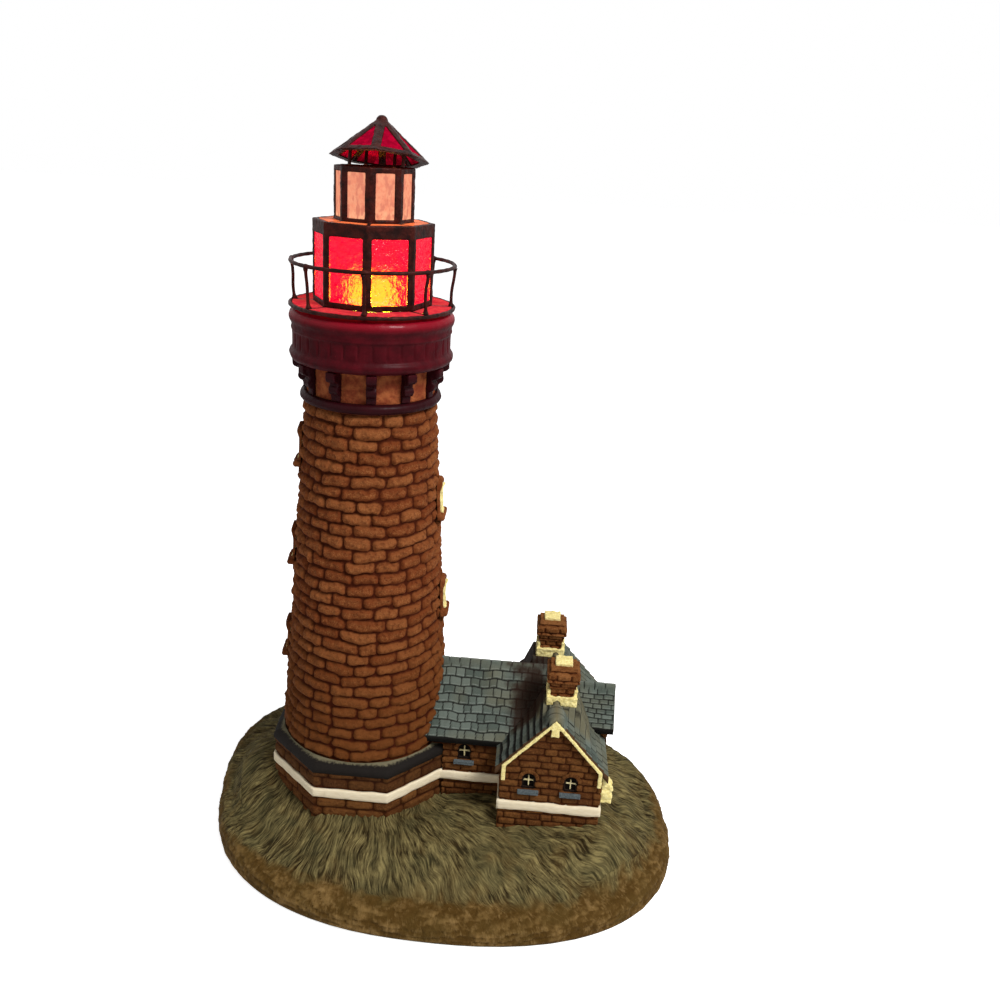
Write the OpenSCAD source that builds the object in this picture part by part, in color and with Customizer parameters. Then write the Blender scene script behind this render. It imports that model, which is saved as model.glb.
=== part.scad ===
// Table lamp shaped as a brick lighthouse with a keeper's house on a grassy mound.
// Millimetres. The tower axis is Z, the underside is z = 0, the house runs along +X and its
// gable front looks along -Y.

/* [Base] */
// Length of the ground casting along the house
base_length = 262; // [250:1:280]
// Depth of the ground casting from front to back
base_depth = 204; // [190:1:220]
// Distance from the tower axis to the middle of the base along the house
base_shift_x = 41; // [36:1:46]
// Distance from the tower axis to the middle of the base towards the back
base_shift_y = 4.5; // [-2:0.5:8]
// Height of the rocky bank at the rim
bank_height = 16.5; // [15:0.5:19]
// Width of the rocky bank seen from above
bank_width = 14; // [11:0.5:17]
// Height of the grass at the middle of the mound
hill_height = 36; // [33:0.5:40]
// Height of the floor that the tower and the house stand on
seat_height = 24; // [21:0.5:27]
// Height of the wiring space under the mound
cavity_height = 13; // [11.5:0.5:15]
// Thickness of the ground casting beside the wiring space
ground_wall = 4.4; // [4:0.2:8]
// How far the ground rises beside the tower
side_rise = 14; // [8:0.5:15]
// Height of the swells in the grass
swell_height = 1.6; // [0:0.1:2.4]
// Thickness of the felt on the underside
felt_thickness = 1.2; // [0.8:0.1:2]
// Thickness of the base plate
plate_thickness = 1.6; // [1.2:0.1:2]
// Radius of the cord hole through the bushing
cord_hole_radius = 3.2; // [2.6:0.1:3.8]
// Radius of the wire's way up into the tower
wire_way_radius = 21; // [12:0.5:24]

/* [Tower] */
// Radius of the brickwork at its foot
tower_foot_radius = 45; // [43:0.5:47]
// Radius of the brickwork at its top
tower_top_radius = 32.6; // [31.5:0.1:34]
// Thickness of the tower wall
tower_wall = 10; // [8:0.5:12]
// Number of brick courses
course_count = 30; // [26:1:34]
// Height of one brick course
course_height = 6.13; // [5.6:0.01:6.6]
// Depth of the joints between courses
joint_depth = 0.9; // [0.4:0.1:1.4]
// Height of the octagonal plinth above its seat
plinth_height = 33; // [31:0.5:36]
// How far the plinth's corners stand out from the brickwork's foot
plinth_step = 6; // [5:0.1:8]
// Height of the dark moulding on the plinth
moulding_height = 7; // [5:0.5:9]
// Height of the white stripe
stripe_height = 5.8; // [4:0.1:7]
// Height of the stripe's lower edge above the seat
stripe_rise = 18.1; // [16:0.1:20]
// How far the stripe stands out
stripe_depth = 0.8; // [0.5:0.1:1.2]
// Height of a tower window's opening
tower_window_height = 15.7; // [13:0.1:17]
// Width of a tower window's opening
tower_window_width = 7; // [6:0.5:9]
// Width of a tower window's surround
surround_width = 3; // [2.2:0.1:3.6]
// How far the surround stands out of the brickwork
surround_depth = 1.8; // [1.2:0.1:2.5]
// How far the hood and the sill stand out of the brickwork
hood_depth = 3.8; // [2.6:0.1:4.5]
// Height of the lowest window on the left limb above the brick foot
left_window_rise = 43.5; // [38:0.5:48]
// Height from one window on the left limb to the next
left_window_step = 54; // [50:0.5:56]
// Height of the lower window on the right limb above the brick foot
right_window_rise = 72; // [66:0.5:78]
// Height from one window on the right limb to the next
right_window_step = 54.5; // [50:0.5:60]

/* [Gallery] */
// Radius of the tan band behind the brackets
band_radius = 31.5; // [31:0.1:32]
// Height of the tan band from the neck ring's foot to the cornice
band_height = 20; // [18:0.5:23]
// Height of the ring under the brackets
neck_height = 5; // [4:0.5:6]
// Number of brackets under the gallery
corbel_count = 12; // [8:1:16]
// Turn of the first bracket from the gable front
corbel_turn = 9.5; // [0:0.5:15]
// Thickness of one bracket
corbel_width = 4.8; // [3.5:0.1:6]
// Radius of the cornice face between its beads
cornice_radius = 38.3; // [37.5:0.1:39]
// Height of the cornice
cornice_height = 25; // [22:0.5:28]
// How far the beads stand out of the cornice
bead_depth = 1.5; // [0.8:0.1:2]
// Radius of the lamp well in the tower top
well_radius = 22; // [20.5:0.5:23]

/* [House] */
// Half of the hall's depth
hall_half = 22; // [20:0.5:24]
// Height of the hall's wall above its window
hall_head = 8.76; // [8:0.02:12]
// Rise over run of the hall roof
hall_pitch = 1.37; // [1.2:0.01:1.5]
// Distance from the tower axis to the middle of the cross wing
wing_centre = 104; // [100:0.5:108]
// Half of the cross wing's width
wing_half = 26.4; // [24:0.1:28]
// Distance from the tower axis to the front gable wall
wing_front = 42.7; // [40:0.5:46]
// Distance from the tower axis to the rear gable wall
wing_back = 46; // [43:0.5:50]
// Height of the cross wing's side walls above the windows
wing_head = 5.13; // [4.4:0.01:6]
// Rise over run of the cross wing's roof
wing_pitch = 1.12; // [1:0.01:1.25]
// Distance from the tower axis to the end wall
end_wall = 134; // [133:0.5:138]
// Half of the end bay's depth
end_half = 11; // [9:0.5:13]
// Height of the end bay's side walls above the windows
end_head = 15.33; // [13:0.01:16]
// Thickness of the house walls
house_wall = 3; // [2:0.1:4]
// Thickness of the roofs measured upright
roof_thickness = 3.4; // [2.6:0.1:4]
// How far the roofs hang over the walls
roof_overhang = 2.8; // [2:0.1:4]
// How far the wing's roof reaches past its gable walls
verge = 1.4; // [1:0.1:2]
// Height of one slate step
slate_step = 0.7; // [0.3:0.1:0.9]
// Width of a chimney stack
stack_width = 12; // [10:0.5:13]
// Width of a chimney head
head_width = 16.5; // [15:0.5:18]
// Height of a chimney above the ridge
chimney_height = 18.5; // [17.5:0.5:24]
// Height of a chimney's head
head_height = 7; // [6:0.5:9]
// Distance of the front chimney from the tower axis, towards the front
front_stack_out = 21.5; // [18:0.5:24]
// Distance of the front chimney from the cross wing's middle, towards the end
front_stack_side = 2.6; // [0:0.1:4]
// Distance of the rear chimney from the tower axis, towards the back
rear_stack_out = 28.5; // [24:0.5:32]
// Distance of the rear chimney from the cross wing's middle, towards the tower
rear_stack_side = 3.2; // [0:0.1:4]
// Width of a house window opening
window_width = 7; // [6:0.1:8]
// Height of a house window opening
window_height = 10; // [9:0.1:11]
// Height of the window openings above the stripe
sill_rise = 7.7; // [5:0.1:9]
// Distance of the gable windows from the gable's middle
gable_window_offset = 10.9; // [9:0.1:12.5]
// Distance of the hall window from the tower axis
hall_window_x = 57.5; // [56:0.5:66]

/* [Lamp] */
// Radius of the threaded pipe that carries the socket
pipe_radius = 5; // [4.6:0.1:5.4]
// Thickness of the socket plate
socket_plate_thickness = 1.5; // [1:0.1:2]
// Outer radius of the socket body
socket_radius = 11; // [10:0.1:12]
// Height of the socket body
socket_height = 27; // [25:0.5:30]
// Radius of the bulb's screw cap
cap_radius = 5.8; // [5.6:0.05:5.9]
// Largest radius of the bulb glass
bulb_radius = 11.3; // [10:0.1:12]
// Length of the bulb glass above the cap
bulb_length = 38; // [35:0.5:40]

/* [Lantern] */
// Turn of the lantern's corners from the gable front
lantern_turn = 3.8; // [0:0.1:22]
// Corner radius of the lower lantern
lower_radius = 27.4; // [26.5:0.1:28.5]
// Height of the lower lantern's glass
lower_height = 32; // [28:0.5:36]
// Height of the dark band above the lower glass
lower_band = 6; // [4:0.5:8]
// Corner radius of the upper lantern
upper_radius = 17.5; // [17:0.1:18.5]
// Height of the upper lantern above the shelf
upper_height = 24; // [21:0.5:27]
// Radius of the deck's outer wire
deck_radius = 39; // [38:0.1:40]
// Radius of the railing's ring
rail_radius = 38.7; // [38:0.1:39.5]
// Height of the railing above the deck
rail_height = 19; // [16:0.5:22]
// Radius of the railing's wire
rail_wire = 0.9; // [0.7:0.05:1.1]
// Thickness of the glass panes
pane_thickness = 1.6; // [1.2:0.1:2]
// Radius of the soldered corner beads
came_radius = 1.25; // [1:0.05:1.5]
// How far a corner strip reaches along a lower pane
lower_strip = 1.9; // [1.5:0.1:3]
// How far a corner strip reaches along an upper pane
upper_strip = 2.2; // [1.5:0.1:3]

/* [Roof] */
// Corner radius of the roof at its eave
roof_radius = 21.4; // [21:0.1:22]
// Height of the roof from eave to point
roof_height = 17.4; // [17:0.2:20]
// Height of the roof's eave plane above the lantern's rim
roof_lift = 3.2; // [3.2:0.1:5]
// How far the roof leans back on the rim, in degrees
roof_lean = 11; // [8:0.5:11.5]
// How far the roof leans sideways, in degrees
roof_side_lean = 3.5; // [0:0.5:4]
// Width of the soldered strip along each edge of a roof pane
roof_strip = 1.9; // [1.2:0.1:2.4]
// How far the roof sits off centre, sideways
roof_shift = 2; // [0:0.1:2.4]
// How far the roof sits off centre, towards the back
roof_shift_back = 1.2; // [0:0.1:1.6]

/* [Hidden] */
$fn = 64;

// Clearances
slip = 0.1;          // between pieces of one body that are bonded or soldered
body_gap = 0.3;      // between pieces that lift away from each other
far = 400;           // reach of cutting shapes

// Heights up the tower
plinth_top = seat_height + plinth_height;
plinth_corner = tower_foot_radius + plinth_step;
brick_foot = plinth_top + moulding_height;
brick_top = brick_foot + course_count * course_height;
band_top = brick_top + band_height;
cornice_top = band_top + cornice_height;
stripe_z = seat_height + stripe_rise;
window_z = stripe_z + stripe_height + sill_rise;
window_head = window_z + window_height;
hall_ridge = window_head + hall_head + hall_pitch * hall_half;
wing_ridge = window_head + wing_head + wing_pitch * wing_half;
end_ridge = window_head + end_head + hall_pitch * end_half;
ledge_height = 6;
ledge_radius = 15;

// Heights of the glass top
deck_wire = 0.95;
deck_z = cornice_top + body_gap + deck_wire;
deck_top = deck_z + pane_thickness / 2;
foot_frame = 2.5;
lower_glass_top = deck_top + lower_height;
shelf_top = lower_glass_top + lower_band;
upper_top = shelf_top + upper_height;
rim_height = 2.4;
came_wall = came_radius * 1.1;
eave_z = upper_top + roof_lift;

// Angles
corner_step = 45;
half_step = corner_step / 2;
front = -90;

// Radius of the brickwork at a height
function tower_r(z) = z <= brick_foot ? tower_foot_radius
    : z >= brick_top ? tower_top_radius
    : tower_foot_radius + (tower_top_radius - tower_foot_radius) * (z - brick_foot) / (brick_top - brick_foot);

// Outline of the ground at an angle about the middle of the base
outline_power = 2.5;
function outline_r(a) = pow(pow(abs(cos(a)) / (base_length / 2), outline_power)
    + pow(abs(sin(a)) / (base_depth / 2), outline_power), -1 / outline_power)
    * (1 - 0.055 * sin(2 * a) + 0.03 * sin(3 * a + 66));
outline_steps = 60;
function outline(inset) = [for (i = [0:outline_steps - 1]) let (a = i * 360 / outline_steps, r = outline_r(a) - inset)
    [base_shift_x + r * cos(a), base_shift_y + r * sin(a)]];

// Rings of the mound: the bank by inset and height, then the grass by share of the radius
bank_rough = 1.1;
felt_inset = 3;
bank_rings = [[2, 0], [0, 0.28], [0.8, 0.56], [bank_width * 0.3, 0.8], [bank_width * 0.64, 0.93]];
grass_shares = [1, 0.88, 0.75, 0.62, 0.48, 0.32, 0.16];
ring_count = len(bank_rings) + len(grass_shares);
function bank_z(share) = felt_thickness + (bank_height - felt_thickness) * share;
function grass_z(u) = bank_height + (hill_height - bank_height) * (1 - pow(u, 4));
// hills and hollows: place, rise and reach
hills = [[-56, -6, side_rise, 24], [136, -46, 11, 22], [40, -30, -4.5, 17], [75, -48, -4, 14]];
function hill_sum(x, y, i = 0) = i == len(hills) ? 0 : hill_sum(x, y, i + 1)
    + hills[i][2] * exp(-(pow(x - hills[i][0], 2) + pow(y - hills[i][1], 2)) / pow(hills[i][3], 2));
// swells about two fingers' width apart
swell_long = 46;
swell_wide = 41;
function swell(x, y) = hill_sum(x, y) + swell_height / 2 * sin(360 * x / swell_long + 120 * sin(360 * y / (2 * swell_long)))
    * sin(360 * y / swell_wide + 90 * sin(360 * x / (2 * swell_wide)));
function ring_r(j, a) = j < len(bank_rings)
    ? outline_r(a) - bank_rings[j][0] - (j > 1 ? bank_rough * (1 + sin(7 * a + 60 * j)) / 2 : 0)
    : (outline_r(a) - bank_width) * grass_shares[j - len(bank_rings)];
function ring_z(j, a) = j < len(bank_rings)
    ? bank_z(bank_rings[j][1]) + (j == 3 ? bank_rough * sin(9 * a + 30) / 2 : 0)
    : let (r = ring_r(j, a)) grass_z(grass_shares[j - len(bank_rings)])
        + swell(base_shift_x + r * cos(a), base_shift_y + r * sin(a));

module mound() {
    n = outline_steps;
    points = [
        for (j = [0:ring_count - 1], i = [0:n - 1])
            let (a = i * 360 / n)
            [base_shift_x + ring_r(j, a) * cos(a), base_shift_y + ring_r(j, a) * sin(a), ring_z(j, a)],
        [base_shift_x, base_shift_y, hill_height]
    ];
    faces = [
        [for (i = [0:n - 1]) i],
        for (j = [0:ring_count - 2], i = [0:n - 1])
            [j * n + i, (j + 1) * n + i, j * n + (i + 1) % n],
        for (j = [0:ring_count - 2], i = [0:n - 1])
            [j * n + (i + 1) % n, (j + 1) * n + i, (j + 1) * n + (i + 1) % n],
        for (i = [0:n - 1])
            [(ring_count - 1) * n + i, ring_count * n, (ring_count - 1) * n + (i + 1) % n]
    ];
    polyhedron(points, faces, convexity = 4);
}

// Octagonal prism whose corners lie at the given radius and turn
module octagon(r, h, turn = 0) {
    rotate([0, 0, front + turn]) cylinder(r = r, h = h, $fn = 8);
}

// Eight copies, each with local X pointing at a lantern corner
module at_corners() {
    for (k = [0:7]) rotate([0, 0, front + lantern_turn + k * corner_step]) children();
}

// Eight copies, each with local X pointing at the middle of a lantern side
module at_sides() {
    for (k = [0:7]) rotate([0, 0, front + lantern_turn + half_step + k * corner_step]) children();
}

// Cone of the brickwork, wider by a clearance
module tower_envelope(extra) {
    translate([0, 0, -1]) cylinder(r = tower_foot_radius + extra, h = brick_foot + 1);
    translate([0, 0, brick_foot])
        cylinder(r1 = tower_foot_radius + extra, r2 = tower_top_radius + extra, h = brick_top - brick_foot);
}

// Base

plate_inset = 12;
cavity_inset = bank_width + ground_wall;
boss_radius = 5;
screw_radius = 1.6;
screw_head = 3.2;
screw_length = 9;
boss_angles = [28, 152, 212, 328];
boss_share = 0.62;
plate_z = felt_thickness;
cavity_floor = plate_z + plate_thickness;

module at_bosses() {
    for (a = boss_angles)
        translate([base_shift_x + boss_share * outline_r(a) * cos(a),
                   base_shift_y + boss_share * outline_r(a) * sin(a), 0]) children();
}

bushing_radius = cord_hole_radius + 1.2;
flange_radius = bushing_radius + 2;
flange_thickness = 2;
bushing_z = cavity_floor + bushing_radius + 0.6;
bore_reach = 10;
back_y = base_shift_y + outline_r(90);
flange_y = back_y - 2.4;
cavity_back_y = back_y - cavity_inset;

// Points along +Y from the given depth at the bushing's axis
module at_bushing(y) {
    translate([base_shift_x, y, bushing_z]) rotate([-90, 0, 0]) children();
}

module felt_pad() {
    color([0.16, 0.26, 0.17]) linear_extrude(felt_thickness) polygon(outline(felt_inset));
}

module base_plate() {
    color([0.62, 0.63, 0.65]) difference() {
        translate([0, 0, plate_z]) linear_extrude(plate_thickness) polygon(outline(plate_inset));
        at_bosses() translate([0, 0, plate_z - slip])
            cylinder(r1 = screw_head + 2 * slip, r2 = screw_radius + slip, h = plate_thickness + 2 * slip);
    }
}

module base_screws() {
    color([0.75, 0.74, 0.70]) at_bosses() translate([0, 0, plate_z]) {
        cylinder(r1 = screw_head, r2 = screw_radius, h = plate_thickness);
        cylinder(r = screw_radius, h = screw_length);
    }
}

// Footprint of the house, grown by a distance
module house_footprint(grow) {
    translate([0, -hall_half - grow]) square([wing_centre, 2 * (hall_half + grow)]);
    translate([wing_centre - wing_half - grow, -wing_front - grow])
        square([2 * (wing_half + grow), wing_front + wing_back + 2 * grow]);
    translate([wing_centre, -end_half - grow]) square([end_wall - wing_centre + grow, 2 * (end_half + grow)]);
}

module ground() {
    color([0.42, 0.38, 0.24]) difference() {
        mound();
        // pocket for the tower and the house
        translate([0, 0, seat_height]) linear_extrude(far) house_footprint(slip);
        translate([0, 0, seat_height]) octagon(plinth_corner + slip, far, half_step);
        // rabbet for the base plate
        translate([0, 0, -1]) linear_extrude(cavity_floor + 1) polygon(outline(plate_inset - slip));
        // wiring space around the screw bosses
        difference() {
            translate([0, 0, -1]) linear_extrude(cavity_height + 1) polygon(outline(cavity_inset));
            at_bosses() cylinder(r = boss_radius, h = far);
        }
        at_bosses() cylinder(r = screw_radius + slip / 2, h = plate_z + screw_length + 1);
        // way up into the tower and out to the cord bushing
        cylinder(r = wire_way_radius, h = far);
        at_bushing(cavity_back_y - bore_reach) cylinder(r = bushing_radius + slip, h = far);
        at_bushing(flange_y) cylinder(r = flange_radius + slip, h = far);
    }
}

module cord_bushing() {
    inner = 2;
    color([0.12, 0.11, 0.10]) difference() {
        union() {
            at_bushing(cavity_back_y - inner) cylinder(r = bushing_radius, h = flange_y - cavity_back_y + inner + slip);
            at_bushing(flange_y + slip) cylinder(r = flange_radius, h = flange_thickness);
        }
        at_bushing(cavity_back_y - bore_reach) cylinder(r = cord_hole_radius, h = far);
    }
}

// Tower

module tower_shell() {
    flat = 0.9;
    rise = 0.5;
    ledge_foot = brick_top - ledge_height;
    courses = [for (i = [0:course_count - 1]) let (z = brick_foot + i * course_height, top = z + course_height)
        each [[tower_r(z) - joint_depth, z], [tower_r(z) - joint_depth, z + flat],
              [tower_r(z + flat + rise), z + flat + rise], [tower_r(top - rise), top - rise]]];
    color([0.54, 0.32, 0.16]) difference() {
        rotate_extrude() polygon(concat(
            [[tower_foot_radius - tower_wall, seat_height], [tower_foot_radius - slip, seat_height],
             [tower_foot_radius - slip, brick_foot - slip]],
            courses,
            [[tower_top_radius, brick_top], [band_radius, brick_top], [band_radius, band_top], [well_radius, band_top],
             [well_radius, brick_top], [ledge_radius, brick_top], [ledge_radius, ledge_foot],
             [tower_top_radius - tower_wall, ledge_foot], [tower_foot_radius - tower_wall, brick_foot]]));
        at_plate_screws() translate([0, 0, brick_top - plate_screw_depth - 1])
            cylinder(r = plate_screw_radius + slip / 2, h = far);
    }
}

module tower_plinth() {
    color([0.45, 0.24, 0.13]) difference() {
        translate([0, 0, seat_height]) octagon(plinth_corner, plinth_height, half_step);
        cylinder(r = tower_foot_radius, h = far);
    }
}

module plinth_stripe() {
    color([0.91, 0.88, 0.80]) difference() {
        translate([0, 0, stripe_z]) octagon(plinth_corner + stripe_depth, stripe_height, half_step);
        octagon(plinth_corner + slip, far, half_step);
        linear_extrude(far) house_footprint(stripe_depth + slip);
    }
}

moulding_overhang = 0.6;

module plinth_moulding() {
    steps = 5;
    shoulder = 1.2;
    color([0.12, 0.11, 0.10]) difference() {
        union() for (i = [0:steps - 1]) let (t = i / steps)
            translate([0, 0, plinth_top + t * moulding_height])
                octagon(plinth_corner + moulding_overhang - (plinth_step + moulding_overhang - shoulder)
                    * (1 - sqrt(1 - t * t)), moulding_height / steps, half_step);
        translate([0, 0, -1]) cylinder(r = tower_foot_radius + slip, h = far);
        linear_extrude(hall_ridge) house_footprint(slip);
    }
}

// Windows of the tower: turn from the gable front, and height of the opening above the brick foot
left_turn = -84;
right_turn = 90;
window_places = concat(
    [for (k = [0:2]) [left_turn, left_window_rise + k * left_window_step]],
    [for (k = [0:1]) [right_turn, right_window_rise + k * right_window_step]]);
hood_width = 2;
tower_sill = 3;
bracket_drop = 4.5;
// slope of the brickwork, and how far it falls back over a window
wall_slope = (tower_foot_radius - tower_top_radius) / (brick_top - brick_foot);
window_lean = wall_slope * (tower_window_height + tower_sill + bracket_drop + surround_width);

// Places local X along the wall, local Y upwards and local Z outwards
module on_tower() {
    for (w = window_places) let (z = brick_foot + w[1])
        rotate([0, 0, front + w[0]])
            translate([tower_r(z + tower_window_height + surround_width), 0, z]) rotate([90, 0, 90]) children();
}

// Flat shape with a round head, standing on the X axis
module arch(w, h) {
    translate([-w / 2, 0]) square([w, h - w / 2]);
    translate([0, h - w / 2]) circle(d = w);
}

module tower_window_hoods() {
    w = tower_window_width + 2 * surround_width;
    h = tower_window_height + surround_width;
    spring = h - w / 2;
    root = 4;
    color([0.47, 0.27, 0.14]) difference() {
        on_tower() difference() {
            translate([0, 0, -root]) union() {
                linear_extrude(root + surround_depth + window_lean) arch(w, h);
                // hood over the round head
                linear_extrude(root + hood_depth) difference() {
                    translate([0, spring]) circle(d = w);
                    translate([0, spring]) circle(d = w - 2 * hood_width);
                    translate([-w, spring - 2 * w]) square([2 * w, 2 * w]);
                }
                translate([-w / 2 - 1, -tower_sill, 0]) cube([w + 2, tower_sill, root + hood_depth + window_lean]);
                translate([-w / 4, -tower_sill - bracket_drop, 0])
                    cube([w / 2, bracket_drop, root + surround_depth + window_lean]);
            }
            translate([0, 0, -root - 1]) linear_extrude(far) arch(tower_window_width, tower_window_height);
        }
        tower_envelope(slip);
    }
}

module tower_window_frames() {
    w = tower_window_width - 2 * slip;
    h = tower_window_height - 2 * slip;
    bar = 1;
    proud = 0.8;
    thick = surround_depth + proud;
    color([0.95, 0.90, 0.66]) on_tower() translate([0, slip, window_lean + 2 * slip]) linear_extrude(thick) difference() {
        arch(w, h);
        difference() {
            translate([0, bar]) arch(w - 2 * bar, h - 2 * bar);
            translate([-bar / 2, 0]) square([bar, h]);
            for (k = [1:2]) translate([-w / 2, k * h / 3]) square([w, bar]);
        }
    }
}

// Gallery

module neck_ring() {
    r = neck_height / 2;
    color([0.25, 0.06, 0.08]) rotate_extrude() difference() {
        union() {
            translate([band_radius + slip, brick_top]) square([1.1, neck_height]);
            translate([band_radius + 1, brick_top + r]) circle(r = r);
        }
        square([band_radius + slip, far]);
    }
}

module corbels() {
    foot = brick_top + neck_height;
    drop = band_top - foot;
    reach = 1 + cornice_radius - band_radius;
    scroll = 2.6;
    scroll_z = foot + drop * 0.4;
    color([0.27, 0.06, 0.09]) difference() {
        for (k = [0:corbel_count - 1]) rotate([0, 0, front + corbel_turn + k * 360 / corbel_count])
            translate([band_radius - 1, corbel_width / 2, 0]) rotate([90, 0, 0]) linear_extrude(corbel_width) union() {
                polygon([[0, foot], [scroll, foot], [scroll + 0.4, scroll_z], [reach * 0.56, foot + drop * 0.62],
                         [reach, band_top - scroll * 1.5], [reach, band_top - slip], [0, band_top - slip]]);
                translate([reach - scroll, band_top - slip - scroll]) circle(r = scroll);
                translate([scroll, scroll_z]) circle(r = scroll);
            }
        translate([0, 0, brick_top]) cylinder(r = band_radius + slip, h = band_height);
        neck_cut();
    }
}

// Space of the neck ring, so that the brackets stand on it
module neck_cut() {
    translate([0, 0, brick_top - 1]) cylinder(r = far / 4, h = neck_height + 1 + slip);
}

module gallery_cornice() {
    lower_bead = 3;
    upper_bead = 4.2;
    panel = 0.5;
    panel_count = 36;
    color([0.24, 0.05, 0.08]) difference() {
        rotate_extrude() union() {
            translate([well_radius, band_top]) square([cornice_radius - well_radius, cornice_height]);
            translate([cornice_radius + bead_depth - lower_bead, band_top + lower_bead]) circle(r = lower_bead);
            translate([cornice_radius + bead_depth - upper_bead, cornice_top - upper_bead - 0.2]) circle(r = upper_bead);
            translate([cornice_radius + bead_depth - 2, cornice_top - 2 * upper_bead - 1.6]) circle(r = 1.1);
        }
        // upright grooves between the panels
        for (k = [0:panel_count - 1]) rotate([0, 0, k * 360 / panel_count])
            translate([cornice_radius - panel, -0.4, band_top + 2 * lower_bead + 0.5])
                cube([panel + 4, 0.8, cornice_height - 2 * lower_bead - 2 * upper_bead - 3.4]);
    }
}

// House

// Prism along +X with a ridge over Y = 0
module ridge_prism(half, ridge, pitch, x0, x1, foot = 0) {
    translate([x0, 0, 0]) rotate([90, 0, 90]) linear_extrude(x1 - x0)
        polygon([[-half, foot], [half, foot], [half, ridge - pitch * half], [0, ridge], [-half, ridge - pitch * half]]);
}

// Prism along Y with a ridge over the middle of the cross wing
module wing_prism(half, ridge, y0, y1, foot = 0) {
    translate([wing_centre, y1, 0]) rotate([90, 0, 0]) linear_extrude(y1 - y0)
        polygon([[-half, foot], [half, foot], [half, ridge - wing_pitch * half], [0, ridge],
                 [-half, ridge - wing_pitch * half]]);
}

// Cross-section of a slated roof: steps on both slopes over a flat underside
slate_courses = 9;
ridge_cap = 1.8;
cap_sink = 0.8;
function slate_side(half, ridge, pitch) = [for (i = [0:slate_courses - 1])
    let (u0 = half * (1 - i / slate_courses), u1 = half * (1 - (i + 1) / slate_courses))
    each [[u0, ridge - pitch * u0 + slate_step], [u1, ridge - pitch * u1]]];
function mirror_x(points) = [for (i = [len(points) - 1:-1:0]) [-points[i][0], points[i][1]]];
module roof_section(half, ridge, pitch) {
    side = slate_side(half, ridge, pitch);
    polygon(concat([[half, ridge - pitch * half - roof_thickness]], side, mirror_x(side),
        [[-half, ridge - pitch * half - roof_thickness], [0, ridge - roof_thickness]]));
    translate([0, ridge - cap_sink]) circle(r = ridge_cap);
}

hall_eave = hall_half + roof_overhang;
wing_eave = wing_half + roof_overhang;
end_eave = end_half + roof_overhang;
front_edge = -wing_front - verge;
back_edge = wing_back + verge;
end_edge = end_wall + roof_overhang;
// ridge heights of the undersides that the walls carry
hall_under = hall_ridge - roof_thickness;
wing_under = wing_ridge - roof_thickness;
end_under = end_ridge - roof_thickness;

// Everything under the hall roof's slates, with its ridge cap
module hall_envelope() {
    ridge_prism(hall_eave + slip, hall_ridge + slate_step + slip, hall_pitch, 0, wing_centre + slip);
    translate([0, 0, hall_ridge - cap_sink]) rotate([0, 90, 0]) cylinder(r = ridge_cap + slip, h = wing_centre + slip);
}

// Chimneys: distance from the wing's middle and from the tower axis
front_stack = [front_stack_side, -front_stack_out];
rear_stack = [-rear_stack_side, rear_stack_out];

// Raised part of the slates that carries a chimney
saddle_drop = 1.9;
saddle_foot = 15;
module saddle(place, grow = 0) {
    top = wing_ridge - saddle_drop + grow;
    reach = stack_width / 2 + 3.4;
    translate([wing_centre + place[0], place[1] + reach + grow, 0]) rotate([90, 0, 0]) linear_extrude(2 * (reach + grow))
        polygon([[-reach - grow, top], [reach + grow, top], [reach + 6 + grow, top - saddle_foot], [-reach - 6 - grow, top - saddle_foot]]);
}

// Everything under the cross wing's slates, with its ridge cap
module wing_envelope() {
    wing_prism(wing_eave + slip, wing_ridge + slate_step + slip, front_edge - slip, back_edge + slip);
    translate([wing_centre, back_edge + slip, wing_ridge - cap_sink]) rotate([90, 0, 0])
        cylinder(r = ridge_cap + slip, h = back_edge - front_edge + 2 * slip);
    saddle(front_stack, slip);
    saddle(rear_stack, slip);
}

module hall_walls() {
    wing_left = wing_centre - wing_half;
    color([0.42, 0.20, 0.12]) difference() {
        ridge_prism(hall_half, hall_under - slip, hall_pitch, 0, wing_left - slip, seat_height);
        ridge_prism(hall_half - house_wall, hall_under - house_wall, hall_pitch, 0, far, seat_height - 1);
        octagon(plinth_corner + slip, plinth_top, half_step);
        octagon(plinth_corner + moulding_overhang + slip, brick_foot + slip, half_step);
        tower_envelope(2 * slip);
        at_hall_window() niche();
    }
}

module wing_shell(y0, y1) {
    difference() {
        wing_prism(wing_half, wing_under - slip, y0, y1, seat_height);
        wing_prism(wing_half - house_wall, wing_under - house_wall, -wing_front + house_wall,
            wing_back - house_wall, seat_height - 1);
        // the hall's attic and rooms run through
        ridge_prism(hall_half - house_wall, hall_under, hall_pitch, 0, wing_centre, seat_height - 1);
        ridge_prism(end_half - house_wall, end_under, hall_pitch, wing_centre, far, seat_height - 1);
        above_hall_ceiling();
    }
}

// Everything above the underside of the hall roof
module above_hall_ceiling() {
    difference() {
        ridge_prism(hall_eave + slip, hall_ridge + far / 8, hall_pitch, 0, wing_centre + slip);
        ridge_prism(hall_eave + 1, hall_under - slip, hall_pitch, -1, wing_centre + 1);
    }
}

// The space that the cross wing's roof fills
module wing_roof_space() {
    difference() {
        wing_envelope();
        wing_prism(wing_eave + 1, wing_under - slip, front_edge - 1, back_edge + 1);
    }
}

module front_wing_walls() {
    color([0.40, 0.18, 0.11]) difference() {
        wing_shell(-wing_front, 0);
        at_gable_windows() niche();
    }
}

module rear_wing_walls() {
    color([0.40, 0.18, 0.11]) wing_shell(slip, wing_back);
}

module end_walls() {
    x0 = wing_centre + wing_half + slip;
    color([0.40, 0.18, 0.11]) difference() {
        ridge_prism(end_half, end_under - slip, hall_pitch, x0, end_wall, seat_height);
        ridge_prism(end_half - house_wall, end_under - house_wall, hall_pitch, 0, end_wall - house_wall, seat_height - 1);
        wing_roof_space();
    }
}

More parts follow.
